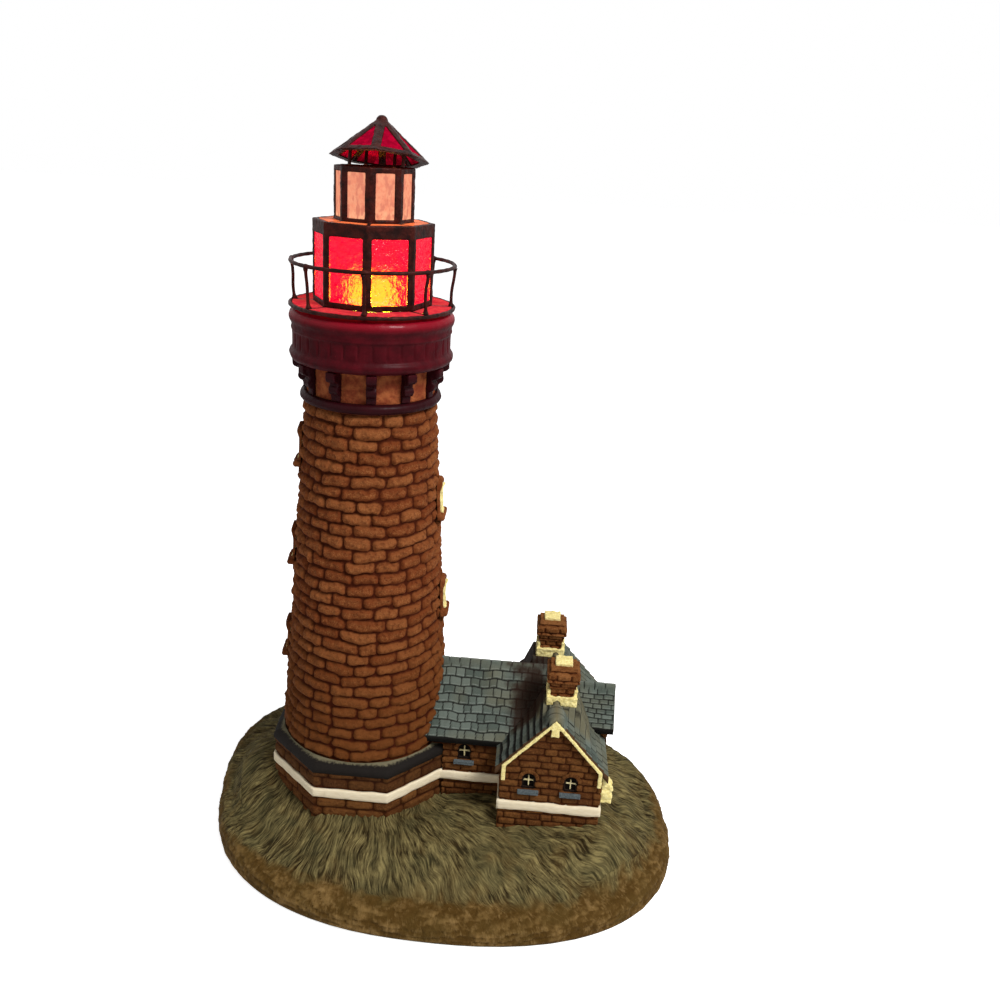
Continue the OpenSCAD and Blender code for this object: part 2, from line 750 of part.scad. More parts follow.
module hall_roof() {
    color([0.33, 0.41, 0.44]) difference() {
        rotate([90, 0, 90]) linear_extrude(wing_centre) roof_section(hall_eave, hall_ridge, hall_pitch);
        tower_envelope(2 * slip);
        octagon(plinth_corner + moulding_overhang + slip, brick_foot + slip, half_step);
    }
}

module wing_roof(y0, y1, place) {
    difference() {
        union() {
            translate([wing_centre, y1, 0]) rotate([90, 0, 0]) linear_extrude(y1 - y0)
                roof_section(wing_eave, wing_ridge, wing_pitch);
            difference() {
                saddle(place);
                wing_prism(wing_eave, wing_under, y0, y1);
            }
        }
        hall_envelope();
    }
}

module front_roof() {
    color([0.32, 0.39, 0.42]) wing_roof(front_edge, 0, front_stack);
}

module rear_roof() {
    color([0.32, 0.39, 0.42]) wing_roof(slip, back_edge, rear_stack);
}

module end_roof() {
    color([0.33, 0.41, 0.44]) difference() {
        translate([wing_centre + slip, 0, 0]) rotate([90, 0, 90]) linear_extrude(end_edge - wing_centre - slip)
            roof_section(end_eave, end_ridge, hall_pitch);
        wing_envelope();
        hall_envelope();
    }
}

// Chimneys
chimney_top = wing_ridge + chimney_height;
head_bevel = 1.2;
crown_height = 2;

module chimney(place) {
    neck = 3.5;
    translate([wing_centre + place[0], place[1], 0]) difference() {
        union() {
            translate([-stack_width / 2, -stack_width / 2, wing_ridge - stack_width])
                cube([stack_width, stack_width, chimney_height + stack_width - crown_height]);
            translate([0, 0, chimney_top - head_height - neck]) linear_extrude(neck + 1)
                square((stack_width + head_width) / 2, center = true);
            translate([0, 0, chimney_top - head_height]) linear_extrude(head_height - crown_height)
                square(head_width, center = true);
            translate([0, 0, chimney_top - crown_height - slip]) linear_extrude(crown_height + slip)
                square(head_width - 2 * head_bevel, center = true);
        }
        translate([-wing_centre - place[0], -place[1], 0]) wing_envelope();
    }
}

module front_chimney() {
    color([0.48, 0.25, 0.14]) chimney(front_stack);
}

module rear_chimney() {
    color([0.48, 0.25, 0.14]) chimney(rear_stack);
}

flashing_wall = 1.8;
module flashing(place) {
    outer = stack_width + 2 * flashing_wall;
    front_rise = 3.2;
    tab_rise = 6.5;
    drop = 9;
    translate([wing_centre + place[0], place[1], 0]) difference() {
        union() {
            translate([-outer / 2, -outer / 2, wing_ridge - drop]) cube([outer, outer, drop + front_rise]);
            translate([-outer / 2, -stack_width / 2, wing_ridge - drop]) cube([outer, stack_width, drop + tab_rise]);
        }
        translate([0, 0, wing_ridge - drop - 1]) linear_extrude(far) square(stack_width + 2 * slip, center = true);
        translate([-wing_centre - place[0], -place[1], 0]) wing_envelope();
    }
}

module chimney_flashings() {
    color([0.95, 0.90, 0.66]) {
        flashing(front_stack);
        flashing(rear_stack);
    }
}

module chimney_caps() {
    wide = 8.8;
    thick = 1.2;
    drip = 1;
    color([0.95, 0.88, 0.58]) for (place = [front_stack, rear_stack])
        translate([wing_centre + place[0], place[1], chimney_top + slip]) union() {
            translate([-wide / 2, -head_width / 2 + head_bevel, 0]) cube([wide, head_width - 2 * head_bevel, thick]);
            translate([-wide / 2, -head_width / 2 - thick - slip, -drip]) cube([wide, thick, drip + thick]);
            translate([-wide / 2, -head_width / 2 - thick - slip, 0]) cube([wide, thick + 3, thick]);
        }
}

// Boards over the verges of one gable, in the wing's cross-section
module bargeboard_shape() {
    wide = 2.5;
    top = wing_ridge - 0.9;
    end = wing_half - 0.6;
    foot = 9;
    polygon([[end, top - wing_pitch * end], [0, top], [-end, top - wing_pitch * end],
        [-end, top - wing_pitch * end - foot], [-end + 2, top - wing_pitch * end - foot],
        [-end + 2, top - wing_pitch * (end - 2) - wide], [0, top - wide],
        [end - 2, top - wing_pitch * (end - 2) - wide],
        [end - 2, top - wing_pitch * end - foot], [end, top - wing_pitch * end - foot]]);
    translate([-2, top - wide - 7]) square([4, 7 + wide / 4]);
}

module bargeboards() {
    board = 1;
    color([0.95, 0.90, 0.66]) {
        translate([wing_centre, front_edge - slip, 0]) rotate([90, 0, 0]) linear_extrude(board) bargeboard_shape();
        translate([wing_centre, back_edge + slip + board, 0]) rotate([90, 0, 0]) linear_extrude(board) bargeboard_shape();
    }
}

module house_stripe() {
    color([0.91, 0.88, 0.80]) translate([0, 0, stripe_z]) difference() {
        linear_extrude(stripe_height) house_footprint(stripe_depth + slip);
        translate([0, 0, -1]) linear_extrude(far) house_footprint(slip);
        translate([0, 0, -1]) octagon(plinth_corner + slip, far, half_step);
    }
}

// House windows
gable_window_middle = -0.5;
niche_depth = 2.2;

// Local X along the wall to the right, local Y up, local Z outwards
module at_gable_windows() {
    for (side = [-1, 1])
        translate([wing_centre + gable_window_middle + side * gable_window_offset, -wing_front, window_z])
            rotate([90, 0, 0]) children();
}

module at_hall_window() {
    translate([hall_window_x, -hall_half, window_z]) rotate([90, 0, 0]) children();
}

module niche() {
    translate([0, 0, -niche_depth]) linear_extrude(niche_depth + 5) arch(window_width, window_height);
}

module window_frame() {
    w = window_width - 2 * slip;
    h = window_height - 2 * slip;
    bar = 0.7;
    translate([0, slip, slip - niche_depth]) linear_extrude(0.9) difference() {
        arch(w, h);
        difference() {
            translate([0, bar]) arch(w - 2 * bar, h - 2 * bar);
            translate([-bar / 2, 0]) square([bar, h]);
            translate([-w / 2, h * 0.45]) square([w, bar]);
        }
    }
}

module window_frames() {
    color([0.95, 0.90, 0.66]) {
        at_gable_windows() window_frame();
        at_hall_window() window_frame();
    }
}

module window_sill() {
    reach = 2;
    translate([-window_width / 2 - 2, -2.2 - slip, slip]) cube([window_width + 4, 2.2, reach]);
}

module window_sills() {
    color([0.36, 0.43, 0.47]) {
        at_gable_windows() window_sill();
        at_hall_window() window_sill();
    }
}

module window_arch() {
    ring = 2;
    spring = window_height - window_width / 2;
    translate([0, 0, slip]) linear_extrude(0.8) difference() {
        translate([0, spring]) circle(r = window_width / 2 + ring);
        translate([0, spring]) circle(r = window_width / 2 + slip);
        translate([-far / 2, spring - far]) square([far, far]);
    }
}

module window_arches() {
    color([0.45, 0.22, 0.13]) {
        at_gable_windows() window_arch();
        at_hall_window() window_arch();
    }
}

module side_window_trim() {
    long = 7;
    tall = 18.3;
    rise = stripe_rise + stripe_height + 2.8;
    depth = 5.6;
    inset = 0.6;
    color([0.95, 0.90, 0.66]) translate([wing_centre + wing_half + slip, -wing_front + inset, seat_height + rise])
        difference() {
            cube([depth, long, tall]);
            translate([depth - 1.4, 1.5, 3]) cube([2, long - 3, tall - 6]);
            // clear of the roof above
            translate([-wing_centre - wing_half - slip, wing_front - inset, -seat_height - rise]) difference() {
                translate([0, -far / 2, 0]) cube([far, far, far]);
                wing_prism(wing_eave + 4, wing_under - 2 * slip, -far, far);
            }
        }
}

// Lamp parts in the tower top

plate_seat = brick_top;
plate_top = plate_seat + socket_plate_thickness;
plate_screw_radius = 1.5;
plate_screw_depth = 4;
plate_screw_place = (ledge_radius + well_radius) / 2;
pipe_bore = pipe_radius - 1.5;
nut_height = 4;
nut_radius = pipe_radius + 3.2;
pipe_foot = plate_seat - 10;
socket_foot = plate_top + nut_height + slip;
socket_floor = 8;
pipe_top = socket_foot + 4;
socket_top = socket_foot + socket_height;
shell_wall = 0.8;
shell_radius = cap_radius + 0.2;
contact_z = socket_foot + socket_floor;
contact_height = 1.4;
tip_z = contact_z + contact_height + body_gap;
tip_height = 1.4;
bulb_foot = tip_z + tip_height;
cap_height = 14;
glass_foot = bulb_foot + cap_height - 4;

// Places at the two screws that hold the socket plate on the tower's ledge
module at_plate_screws() {
    for (s = [-1, 1]) translate([s * plate_screw_place, 0, 0]) children();
}

module socket_plate() {
    color([0.70, 0.62, 0.38]) difference() {
        translate([0, 0, plate_seat]) cylinder(r = well_radius - slip, h = socket_plate_thickness);
        cylinder(r = pipe_radius + slip, h = far);
        at_plate_screws() cylinder(r = plate_screw_radius + slip, h = far);
    }
}

module plate_screws() {
    color([0.72, 0.70, 0.64]) at_plate_screws() {
        translate([0, 0, plate_top]) cylinder(r = plate_screw_radius + 1.1, h = 1.6);
        translate([0, 0, brick_top - plate_screw_depth]) cylinder(r = plate_screw_radius, h = socket_plate_thickness + plate_screw_depth);
    }
}

module lamp_pipe() {
    color([0.76, 0.66, 0.36]) difference() {
        translate([0, 0, pipe_foot]) cylinder(r = pipe_radius, h = pipe_top - pipe_foot);
        cylinder(r = pipe_bore, h = far);
    }
}

module pipe_nuts() {
    color([0.74, 0.64, 0.34]) for (z = [plate_seat - nut_height, plate_top]) difference() {
        translate([0, 0, z]) cylinder(r = nut_radius, h = nut_height, $fn = 6);
        cylinder(r = pipe_radius + slip / 2, h = far);
    }
}

module socket_body() {
    wire_hole = 1.3;
    color([0.10, 0.09, 0.09]) difference() {
        union() {
            translate([0, 0, socket_foot]) cylinder(r = socket_radius - 1.5, h = socket_height);
            translate([0, 0, socket_foot + 3]) cylinder(r = socket_radius, h = socket_height - 3);
        }
        translate([0, 0, socket_foot - 1]) cylinder(r = pipe_radius + slip / 2, h = pipe_top - socket_foot + 1 + slip);
        for (s = [-1, 1]) translate([s * 2, 0, socket_foot]) cylinder(r = wire_hole, h = socket_floor - 1.5);
        translate([0, 0, contact_z]) cylinder(r = shell_radius + shell_wall + slip, h = far);
    }
}

module socket_shell() {
    lip = 1;
    lip_height = 3;
    rim = 1.5;
    color([0.80, 0.68, 0.34]) difference() {
        translate([0, 0, contact_z]) cylinder(r = shell_radius + shell_wall, h = socket_height - socket_floor - rim);
        translate([0, 0, contact_z - slip]) cylinder(r = shell_radius - lip, h = far);
        translate([0, 0, contact_z + lip_height]) cylinder(r = shell_radius, h = far);
    }
}

module socket_contact() {
    color([0.82, 0.70, 0.36]) translate([0, 0, contact_z]) cylinder(r = 3, h = contact_height);
}

lead_radius = 0.9;
lead_offset = 2;
lead_reach = 24;
lead_back = 18;
lead_floor = cavity_floor + 3.4;

// Round rod between two points
module rod(a, b, r) {
    d = b - a;
    long = norm(d);
    translate(a) rotate([0, acos(d[2] / long), atan2(d[1], d[0])]) cylinder(r = r, h = long);
}

module socket_leads() {
    top = socket_foot + socket_floor - 1.7;
    color([0.88, 0.84, 0.74]) for (s = [-1, 1]) {
        rod([s * lead_offset, 0, lead_floor], [s * lead_offset, 0, top], lead_radius);
        rod([s * lead_offset, lead_radius / 2, lead_floor], [lead_reach * s, -lead_back, lead_floor], lead_radius * 0.9);
    }
}

module wire_nuts() {
    long = 11;
    color([0.72, 0.58, 0.20]) for (s = [-1, 1]) translate([lead_reach * s, -lead_back - lead_radius - slip, lead_floor])
        rotate([90, 0, 0]) cylinder(r1 = 3.2, r2 = 2, h = long);
}

// Bulb: height above the cap's pocket, radius
function bulb_profile(t) = t < 0.16 ? cap_radius - 0.45
    : let (u = (t - 0.16) / 0.84)
      cap_radius - 0.45 + (bulb_radius - cap_radius + 0.45) * sin(min(u / 0.44, 1) * 90)
      - (u > 0.44 ? bulb_radius * (1 - sqrt(max(0, 1 - pow((u - 0.44) / 0.56, 2.2)))) : 0);
bulb_steps = 22;
glass_wall = 0.7;
glass_height = bulb_length + 4;

module bulb_tip() {
    color([0.70, 0.70, 0.72]) translate([0, 0, tip_z]) cylinder(r = 2.4, h = tip_height - slip);
}

module bulb_cap() {
    color([0.82, 0.74, 0.48]) difference() {
        translate([0, 0, bulb_foot]) union() {
            cylinder(r1 = 3.4, r2 = cap_radius, h = 2);
            translate([0, 0, 2]) cylinder(r = cap_radius, h = cap_height - 2);
        }
        translate([0, 0, glass_foot]) cylinder(r = cap_radius - 0.35, h = far);
    }
}

module bulb_glass() {
    outer = [for (i = [0:bulb_steps]) let (t = i / bulb_steps) [max(bulb_profile(t), i == bulb_steps ? 0 : 0.5), t * glass_height]];
    inner = [for (i = [bulb_steps:-1:0]) let (t = i / bulb_steps)
        [max(bulb_profile(t) - glass_wall, 0), max(0, t * (glass_height - glass_wall))]];
    color([0.99, 0.95, 0.86, 0.5]) translate([0, 0, glass_foot + slip]) rotate_extrude() polygon(concat(outer, inner));
}

module bulb_filament() {
    stem = 10;
    wire = 0.35;
    support = 1.5;
    spread = 4;
    rise = 13;
    color([0.85, 0.82, 0.74]) translate([0, 0, glass_foot + slip]) {
        cylinder(r = 2.2, h = stem);
        for (s = [-1, 1]) translate([s * support, 0, stem - 1]) cylinder(r = wire, h = rise + 1);
        translate([-spread, 0, stem + rise - 1]) rotate([0, 90, 0]) cylinder(r = wire * 0.7, h = 2 * spread);
    }
}

// Glass top

side_share = sin(half_step);
flat_share = cos(half_step);
strip = 1.8;
deck_inner = lower_radius + came_radius + 0.2;
deck_ring_inner = lower_radius - came_radius - 0.2;
deck_outer = deck_radius - deck_wire;

module deck_came() {
    color([0.17, 0.07, 0.07]) difference() {
        union() {
            translate([0, 0, deck_z]) rotate_extrude() translate([deck_radius, 0]) circle(r = deck_wire);
            translate([0, 0, deck_z - pane_thickness / 2]) octagon(deck_inner, pane_thickness, lantern_turn);
            translate([0, 0, deck_z - pane_thickness / 2]) at_corners()
                translate([deck_inner - 1, -strip / 2, 0]) cube([deck_radius - deck_inner + 1, strip, pane_thickness]);
        }
        octagon(deck_ring_inner, far, lantern_turn);
    }
}

module deck_panes() {
    color([0.98, 0.40, 0.36, 0.8]) translate([0, 0, deck_z - pane_thickness / 2]) difference() {
        cylinder(r = deck_outer - slip, h = pane_thickness);
        translate([0, 0, -1]) octagon(deck_inner + slip, far, lantern_turn);
        at_corners() translate([0, -strip / 2 - slip, -1]) cube([far, strip + 2 * slip, far]);
    }
}

post_foot_radius = deck_radius - 1.6;
rail_z = deck_top + rail_height;

module railing_posts() {
    top = rail_z - rail_wire - slip;
    wire = rail_wire - 0.15;
    lean = atan((rail_radius - post_foot_radius) / (top - deck_top));
    color([0.17, 0.08, 0.08]) at_corners() difference() {
        translate([post_foot_radius, 0, deck_top - 1]) rotate([0, lean, 0]) cylinder(r = wire, h = rail_height + 2);
        translate([0, -far / 2, deck_top + slip - far]) cube([far, far, far]);
        translate([0, -far / 2, top]) cube([far, far, far]);
    }
}

module railing_ring() {
    color([0.20, 0.10, 0.10]) translate([0, 0, rail_z]) rotate_extrude() translate([rail_radius, 0]) circle(r = rail_wire);
}

module octagon_ring(r, wall, z, h) {
    difference() {
        translate([0, 0, z]) octagon(r + wall, h, lantern_turn);
        octagon(r - wall, far + far, lantern_turn);
    }
}

// Eight blocks at the middles of the sides, between two heights, that leave a strip beside each corner
module side_blocks(r, strip_width, z0, z1, depth) {
    wide = 2 * (r * side_share - strip_width);
    at_sides() translate([r * flat_share - depth / 2, -wide / 2, z0]) cube([depth, wide, z1 - z0]);
}

module lower_came() {
    color([0.17, 0.07, 0.07]) union() {
        difference() {
            octagon_ring(lower_radius, came_wall, deck_top + slip, lower_height + lower_band - slip);
            side_blocks(lower_radius, lower_strip, deck_top + foot_frame + slip, lower_glass_top, far / 20);
        }
        at_corners() translate([lower_radius, 0, deck_top + slip]) cylinder(r = came_radius, h = lower_height + 1);
    }
}

// Eight upright panes in the openings of an octagonal frame
module upright_panes(r, strip_width, z0, z1) {
    side_blocks(r, strip_width + slip, z0 + slip, z1 - slip, pane_thickness);
}

module lower_panes() {
    color([1.0, 0.0, 0.2, 0.8]) upright_panes(lower_radius, lower_strip, deck_top + foot_frame + slip, lower_glass_top);
}

shelf_outer = lower_radius - came_wall;
shelf_inner = upper_radius + came_wall;
shelf_z = shelf_top - pane_thickness;

module shelf_panes() {
    color([0.95, 0.55, 0.36, 0.85]) translate([0, 0, shelf_z]) difference() {
        octagon(shelf_outer - slip, pane_thickness, lantern_turn);
        translate([0, 0, -1]) octagon(shelf_inner + slip, far, lantern_turn);
        at_corners() translate([0, -strip / 2 - slip, -1]) cube([far, strip + 2 * slip, far]);
    }
}

upper_post = came_radius - 0.15;
upper_glass_top = upper_top - rim_height;
upper_frame = 1.6;
upper_glass_foot = shelf_top + upper_frame;

module upper_came() {
    color([0.17, 0.07, 0.07]) union() {
        difference() {
            octagon_ring(upper_radius, came_wall, shelf_z, upper_top - shelf_z);
            side_blocks(upper_radius, upper_strip, upper_glass_foot, upper_glass_top, far / 20);
        }
        at_corners() translate([upper_radius, 0, shelf_z]) cylinder(r = upper_post, h = upper_top - shelf_z - 0.5);
        at_corners() translate([upper_radius, -strip / 2, shelf_z])
            cube([shelf_outer - upper_radius - strip / 2, strip, pane_thickness]);
    }
}

module upper_panes() {
    color([0.98, 0.76, 0.60, 0.8]) upright_panes(upper_radius, upper_strip, upper_glass_foot, upper_glass_top);
}

// Roof cap, built over its own eave plane and then set down askew on the rim
// Turn of the lean from the gable front
lean_turn = 9.5;
roof_flat = roof_radius * flat_share;
slope_angle = atan(roof_height / roof_flat);
slope_length = norm([roof_flat, roof_height]);
roof_turn = lantern_turn;

module set_roof() {
    translate([0, 0, eave_z]) rotate([0, 0, lean_turn]) translate([roof_shift, roof_shift_back, 0])
        rotate([0, roof_side_lean, 0]) rotate([-roof_lean, 0, 0]) rotate([0, 0, -lean_turn]) children();
}

// Height that the roof's slope has lost or gained at a point of its eave plane, before the lift
function lean_rise(x, y) = let (xv = x * cos(lean_turn) + y * sin(lean_turn), yv = -x * sin(lean_turn) + y * cos(lean_turn))
    -sin(roof_side_lean) * xv - cos(roof_side_lean) * sin(roof_lean) * yv;
lean_drop = cos(roof_side_lean) * cos(roof_lean);

roof_solder = 1.3;

// Eight-sided pyramid whose faces lie the given distance outside the roof's own
module roof_pyramid(offset) {
    rise = offset / cos(slope_angle);
    cylinder(r1 = roof_radius * (roof_height + rise) / roof_height, r2 = 0, h = roof_height + rise, $fn = 8);
}

module roof_came() {
    dome = 2.8;
    color([0.16, 0.05, 0.06]) set_roof() {
        difference() {
            rotate([0, 0, front + roof_turn]) roof_pyramid(roof_solder);
            translate([0, 0, -slip]) rotate([0, 0, front + roof_turn]) roof_pyramid(-roof_solder);
            roof_triangles(roof_strip, far / 8);
        }
        translate([0, 0, roof_height - dome / 3]) sphere(r = dome);
    }
}

// Triangles in the roof's eight faces, set in from their edges by a margin
module roof_triangles(margin, thickness) {
    side = roof_radius * side_share;
    edge_angle = atan(slope_length / side);
    foot_half = side - margin / tan(edge_angle) - margin / sin(edge_angle);
    for (k = [0:7])
        rotate([0, 0, front + roof_turn + half_step + k * corner_step]) translate([roof_flat, 0, 0])
            rotate([0, slope_angle, 0]) rotate([0, 0, 90]) linear_extrude(thickness, center = true)
                polygon([[-foot_half, margin], [foot_half, margin], [0, margin + foot_half * tan(edge_angle)]]);
}

module roof_panes() {
    color([0.80, 0.04, 0.18, 0.85]) set_roof() roof_triangles(roof_strip + slip, pane_thickness);
}

foot_wire = 0.8;

// A wire foot from a local height down to another, at a turn and radius of the roof
module wire_foot(turn, r, z0, z1) {
    rotate([0, 0, front + roof_turn + turn]) translate([r, 0, z0]) cylinder(r = foot_wire, h = z1 - z0);
}

module roof_feet() {
    front_r = upper_radius - 0.6;
    back_r = 9.4;
    // local height of the rim's top under a front foot
    function rim_local(turn) = let (a = front + roof_turn + turn)
        (upper_top + body_gap + foot_wire * sin(roof_lean) - eave_z - lean_rise(front_r * cos(a), front_r * sin(a))) / lean_drop;
    // local height of the inner face at a radius along a corner
    function under_z(r) = (roof_radius - r - foot_wire) * roof_height / roof_radius - roof_solder / cos(slope_angle);
    color([0.25, 0.10, 0.10]) set_roof() {
        for (turn = [-corner_step, corner_step]) wire_foot(turn, front_r, rim_local(turn), under_z(front_r) - slip);
        for (turn = [-3 * corner_step, 3 * corner_step]) wire_foot(turn, back_r, -2, under_z(back_r) - slip);
    }
}

felt_pad();
base_plate();
base_screws();
ground();
cord_bushing();
tower_shell();
tower_plinth();
plinth_stripe();
plinth_moulding();
tower_window_hoods();
tower_window_frames();
neck_ring();
corbels();
gallery_cornice();
hall_walls();
front_wing_walls();
rear_wing_walls();
end_walls();
hall_roof();
front_roof();
rear_roof();
end_roof();
front_chimney();
rear_chimney();
chimney_flashings();
chimney_caps();
bargeboards();
house_stripe();
window_frames();
window_sills();
window_arches();
side_window_trim();
socket_plate();
plate_screws();
lamp_pipe();
pipe_nuts();
socket_body();
socket_shell();
socket_contact();
socket_leads();
wire_nuts();
bulb_tip();
bulb_cap();
bulb_glass();
bulb_filament();
deck_came();
deck_panes();
railing_posts();
railing_ring();
lower_came();
lower_panes();
shelf_panes();
upper_came();
upper_panes();
roof_came();
roof_panes();
roof_feet();
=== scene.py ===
"""Dresses the lighthouse lamp: a cast mound, brick tower and slated house under a lit glass lantern.

Metres, x along the house, -y towards the gable front, z up. Sizes in the sections are in mm.
"""
import math
import bpy
import numpy as np
from mathutils import Matrix, Vector


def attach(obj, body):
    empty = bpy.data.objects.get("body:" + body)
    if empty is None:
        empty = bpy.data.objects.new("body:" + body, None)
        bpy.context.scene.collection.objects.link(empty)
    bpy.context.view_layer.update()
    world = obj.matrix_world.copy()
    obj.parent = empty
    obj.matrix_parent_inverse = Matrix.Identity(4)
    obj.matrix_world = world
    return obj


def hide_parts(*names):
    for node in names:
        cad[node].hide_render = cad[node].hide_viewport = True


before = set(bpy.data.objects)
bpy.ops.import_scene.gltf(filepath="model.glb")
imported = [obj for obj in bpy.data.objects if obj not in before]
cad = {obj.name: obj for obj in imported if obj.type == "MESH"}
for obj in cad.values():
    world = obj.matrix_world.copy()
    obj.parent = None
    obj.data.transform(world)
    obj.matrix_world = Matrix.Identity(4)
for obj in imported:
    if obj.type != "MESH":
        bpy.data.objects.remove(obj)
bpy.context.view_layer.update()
scene = bpy.context.scene
mm = 0.001


# VIEWPOINT
# The photograph was taken from the front right, a little above the gallery, with a slight roll. The view was
# measured with the tower square to it, and house_turn brings it into the frame, where the house runs along x.
yaw, pitch, roll, house_turn = 0.107, -0.357, 0.053, math.radians(9.5)
eye, film, focal = (0.0774, -0.4624, 0.3721), 36, 0.9655
camera = bpy.data.objects.new("camera", bpy.data.cameras.new("camera"))
scene.collection.objects.link(camera)
scene.camera = camera
forward = np.array([math.sin(yaw) * math.cos(pitch), math.cos(yaw) * math.cos(pitch), math.sin(pitch)])
level_right = np.array([math.cos(yaw), -math.sin(yaw), 0])
level_up = np.cross(level_right, forward)
right = math.cos(roll) * level_right + math.sin(roll) * level_up
up = math.cos(roll) * level_up - math.sin(roll) * level_right
camera.matrix_world = (Matrix.Translation(eye) @ Matrix.Rotation(house_turn, 4, "Z")
                       @ Matrix((right, up, -forward)).transposed().to_4x4())
camera.data.sensor_width = film
camera.data.lens = focal * film
camera.data.shift_x, camera.data.shift_y = 0.0333, -0.0037
camera.data.clip_start, camera.data.clip_end = 0.01, 20


# GROUND
# One resin casting: a grassy mound modelled in combed blades, with a rough earth bank round its rim.
# It is hollow underneath for the wiring. The paint is olive over dark brown, dry-brushed lighter.
base_length, base_depth, base_middle = 262, 204, np.array([41, 4.5])
bank_height, bank_width, hill_height, seat = 16.5, 14, 36, 24
felt, plate_recess, plate_height, wiring_height = 1.2, 12, 2.8, 13
plinth_corner, hall_half, end_half, end_face = 51, 22, 11, 134
wing_middle, wing_half, wing_front, wing_back = 104, 26.4, 42.7, 46
bushing_x, bushing_z, flange_radius, bushing_radius = 41, 7.8, 7.2, 5.0
hills = [(-56, -6, 14, 24), (136, -46, 11, 22), (40, -30, -4.5, 17), (75, -48, -4, 14)]
columns, bank_rows, grass_rows, blade_wide, blade_long = 1080, 25, 59, 1.5, 7.5


def unit(value):
    """The value kept from 0 to 1."""
    return np.clip(value, 0, 1)


def dice(a, b, c, seed):
    """A steady number from 0 to 1 for each set of whole numbers."""
    n = (a * 73856093) ^ (b * 19349663) ^ (c * 83492791) ^ (seed * 2654435 + 97)
    n = ((n ^ (n >> 13)) * 1274126177) & 0x7FFFFFFF
    return ((n ^ (n >> 15)) & 0xFFFF) / 65535


def lumps(places, size, seed):
    """Smooth noise from 0 to 1 at places in mm, with lumps of the given size in mm."""
    at = np.asarray(places, float) / size + 7.31 * seed
    cell = np.floor(at).astype(np.int64)
    t = at - cell
    t = t * t * (3 - 2 * t)
    total = np.zeros(at.shape[:-1])
    for corner in range(8):
        step = np.array([corner & 1, corner >> 1 & 1, corner >> 2])
        share = np.where(step == 1, t, 1 - t).prod(-1)
        c = cell + step
        total += share * dice(c[..., 0], c[..., 1], c[..., 2], seed)
    return total


def uneven(places, size, seed, height):
    """The same noise about 0, with the given height from its lowest to its highest."""
    return height * (lumps(places, size, seed) - 0.5)


def hold(mesh, held):
    """Paints values on the points of a mesh, for its material to read."""
    for key, values in held.items():
        values = np.asarray(values, np.float32)
        if values.shape[-1] == 3:
            mesh.attributes.new(key, "FLOAT_VECTOR", "POINT").data.foreach_set("vector", values.ravel())
        else:
            mesh.attributes.new(key, "FLOAT", "POINT").data.foreach_set("value", values.ravel())


def new_piece(name, points, faces, cad_name, held=None, body="lamp_base"):
    """Makes a piece from points in mm, with its held values, and puts it in the frame for a CAD node."""
    mesh = bpy.data.meshes.new(name)
    mesh.from_pydata((np.asarray(points, float).reshape(-1, 3) * mm).tolist(), [], faces)
    mesh.polygons.foreach_set("use_smooth", [True] * len(mesh.polygons))
    hold(mesh, held or {})
    mesh.update()
    piece = bpy.data.objects.new(name, mesh)
    scene.collection.objects.link(piece)
    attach(piece, body)
    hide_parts(cad_name)
    return piece


def wrap(rows, columns, closed=False):
    """Quads of a grid that closes along its columns, and along its rows too where asked."""
    r = np.arange(rows if closed else rows - 1)[:, None]
    c = np.arange(columns)[None, :]
    r2, c2 = (r + 1) % rows, (c + 1) % columns
    quads = np.stack([r * columns + c, r * columns + c2, r2 * columns + c2, r2 * columns + c], -1)
    return quads.reshape(-1, 4).tolist()


def capped(rows, columns):
    """Quads of a grid that closes along its columns, with a face over its first and over its last row."""
    last = (rows - 1) * columns
    return wrap(rows, columns) + [list(range(columns))[::-1], list(range(last, last + columns))]


def base_reach(angle):
    """Radius of the ground's outline about the middle of the base: a blunt oval, fuller on two sides."""
    power = 2.5
    across, deep = abs(np.cos(angle)) / (base_length / 2), abs(np.sin(angle)) / (base_depth / 2)
    oval = (across ** power + deep ** power) ** (-1 / power)
    return oval * (1 - 0.055 * np.sin(2 * angle) + 0.03 * np.sin(3 * angle + math.radians(66)))


def under_house(x, y, inset):
    """True under the tower's plinth and the house, shrunk by an inset."""
    apothem = plinth_corner * math.cos(math.pi / 8) - inset
    diagonal = (abs(x) + abs(y)) / math.sqrt(2)
    plinth = (abs(x) < apothem) & (abs(y) < apothem) & (diagonal < apothem)
    hall = (x > 0) & (x < wing_middle) & (abs(y) < hall_half - inset)
    wing = (abs(x - wing_middle) < wing_half - inset) & (y > -wing_front + inset) & (y < wing_back - inset)
    end_bay = (x > wing_middle) & (x < end_face - inset) & (abs(y) < end_half - inset)
    return plinth | hall | wing | end_bay


def house_reach(angle):
    """Radius about the middle of the base at which the grass ends, 4 mm inside the outline of the house."""
    inner = np.full(columns, 12.0)
    for d in np.arange(12, 110, 0.5):
        x, y = base_middle[0] + d * np.cos(angle), base_middle[1] + d * np.sin(angle)
        inner = np.where(under_house(x, y, 0) & (inner > d - 0.7), d, inner)
    inner = np.min([np.roll(inner, s) for s in range(-8, 9)], 0) - 4
    return np.mean([np.roll(inner, s) for s in range(-8, 9)], 0)


def comb(x, y):
    """Direction round the tower and distance from it, in waves. Blades of grass run along the distance."""
    flat = np.stack([x, y, 0 * x], -1)
    out = np.hypot(x, y)
    wave = uneven(flat, 21, 5, 7.0) + uneven(flat, 7.5, 6, 4.2)
    turn = np.arctan2(y, x) + wave / out
    return np.stack([np.cos(turn), np.sin(turn), out * mm], -1)


def blades_at(combed, reach, seed):
    """Height of the blades from 0 to 1. They have their right width at the given reach from the tower."""
    return lumps(combed * (reach / blade_wide, reach / blade_wide, 1 / mm / blade_long), 1, seed)


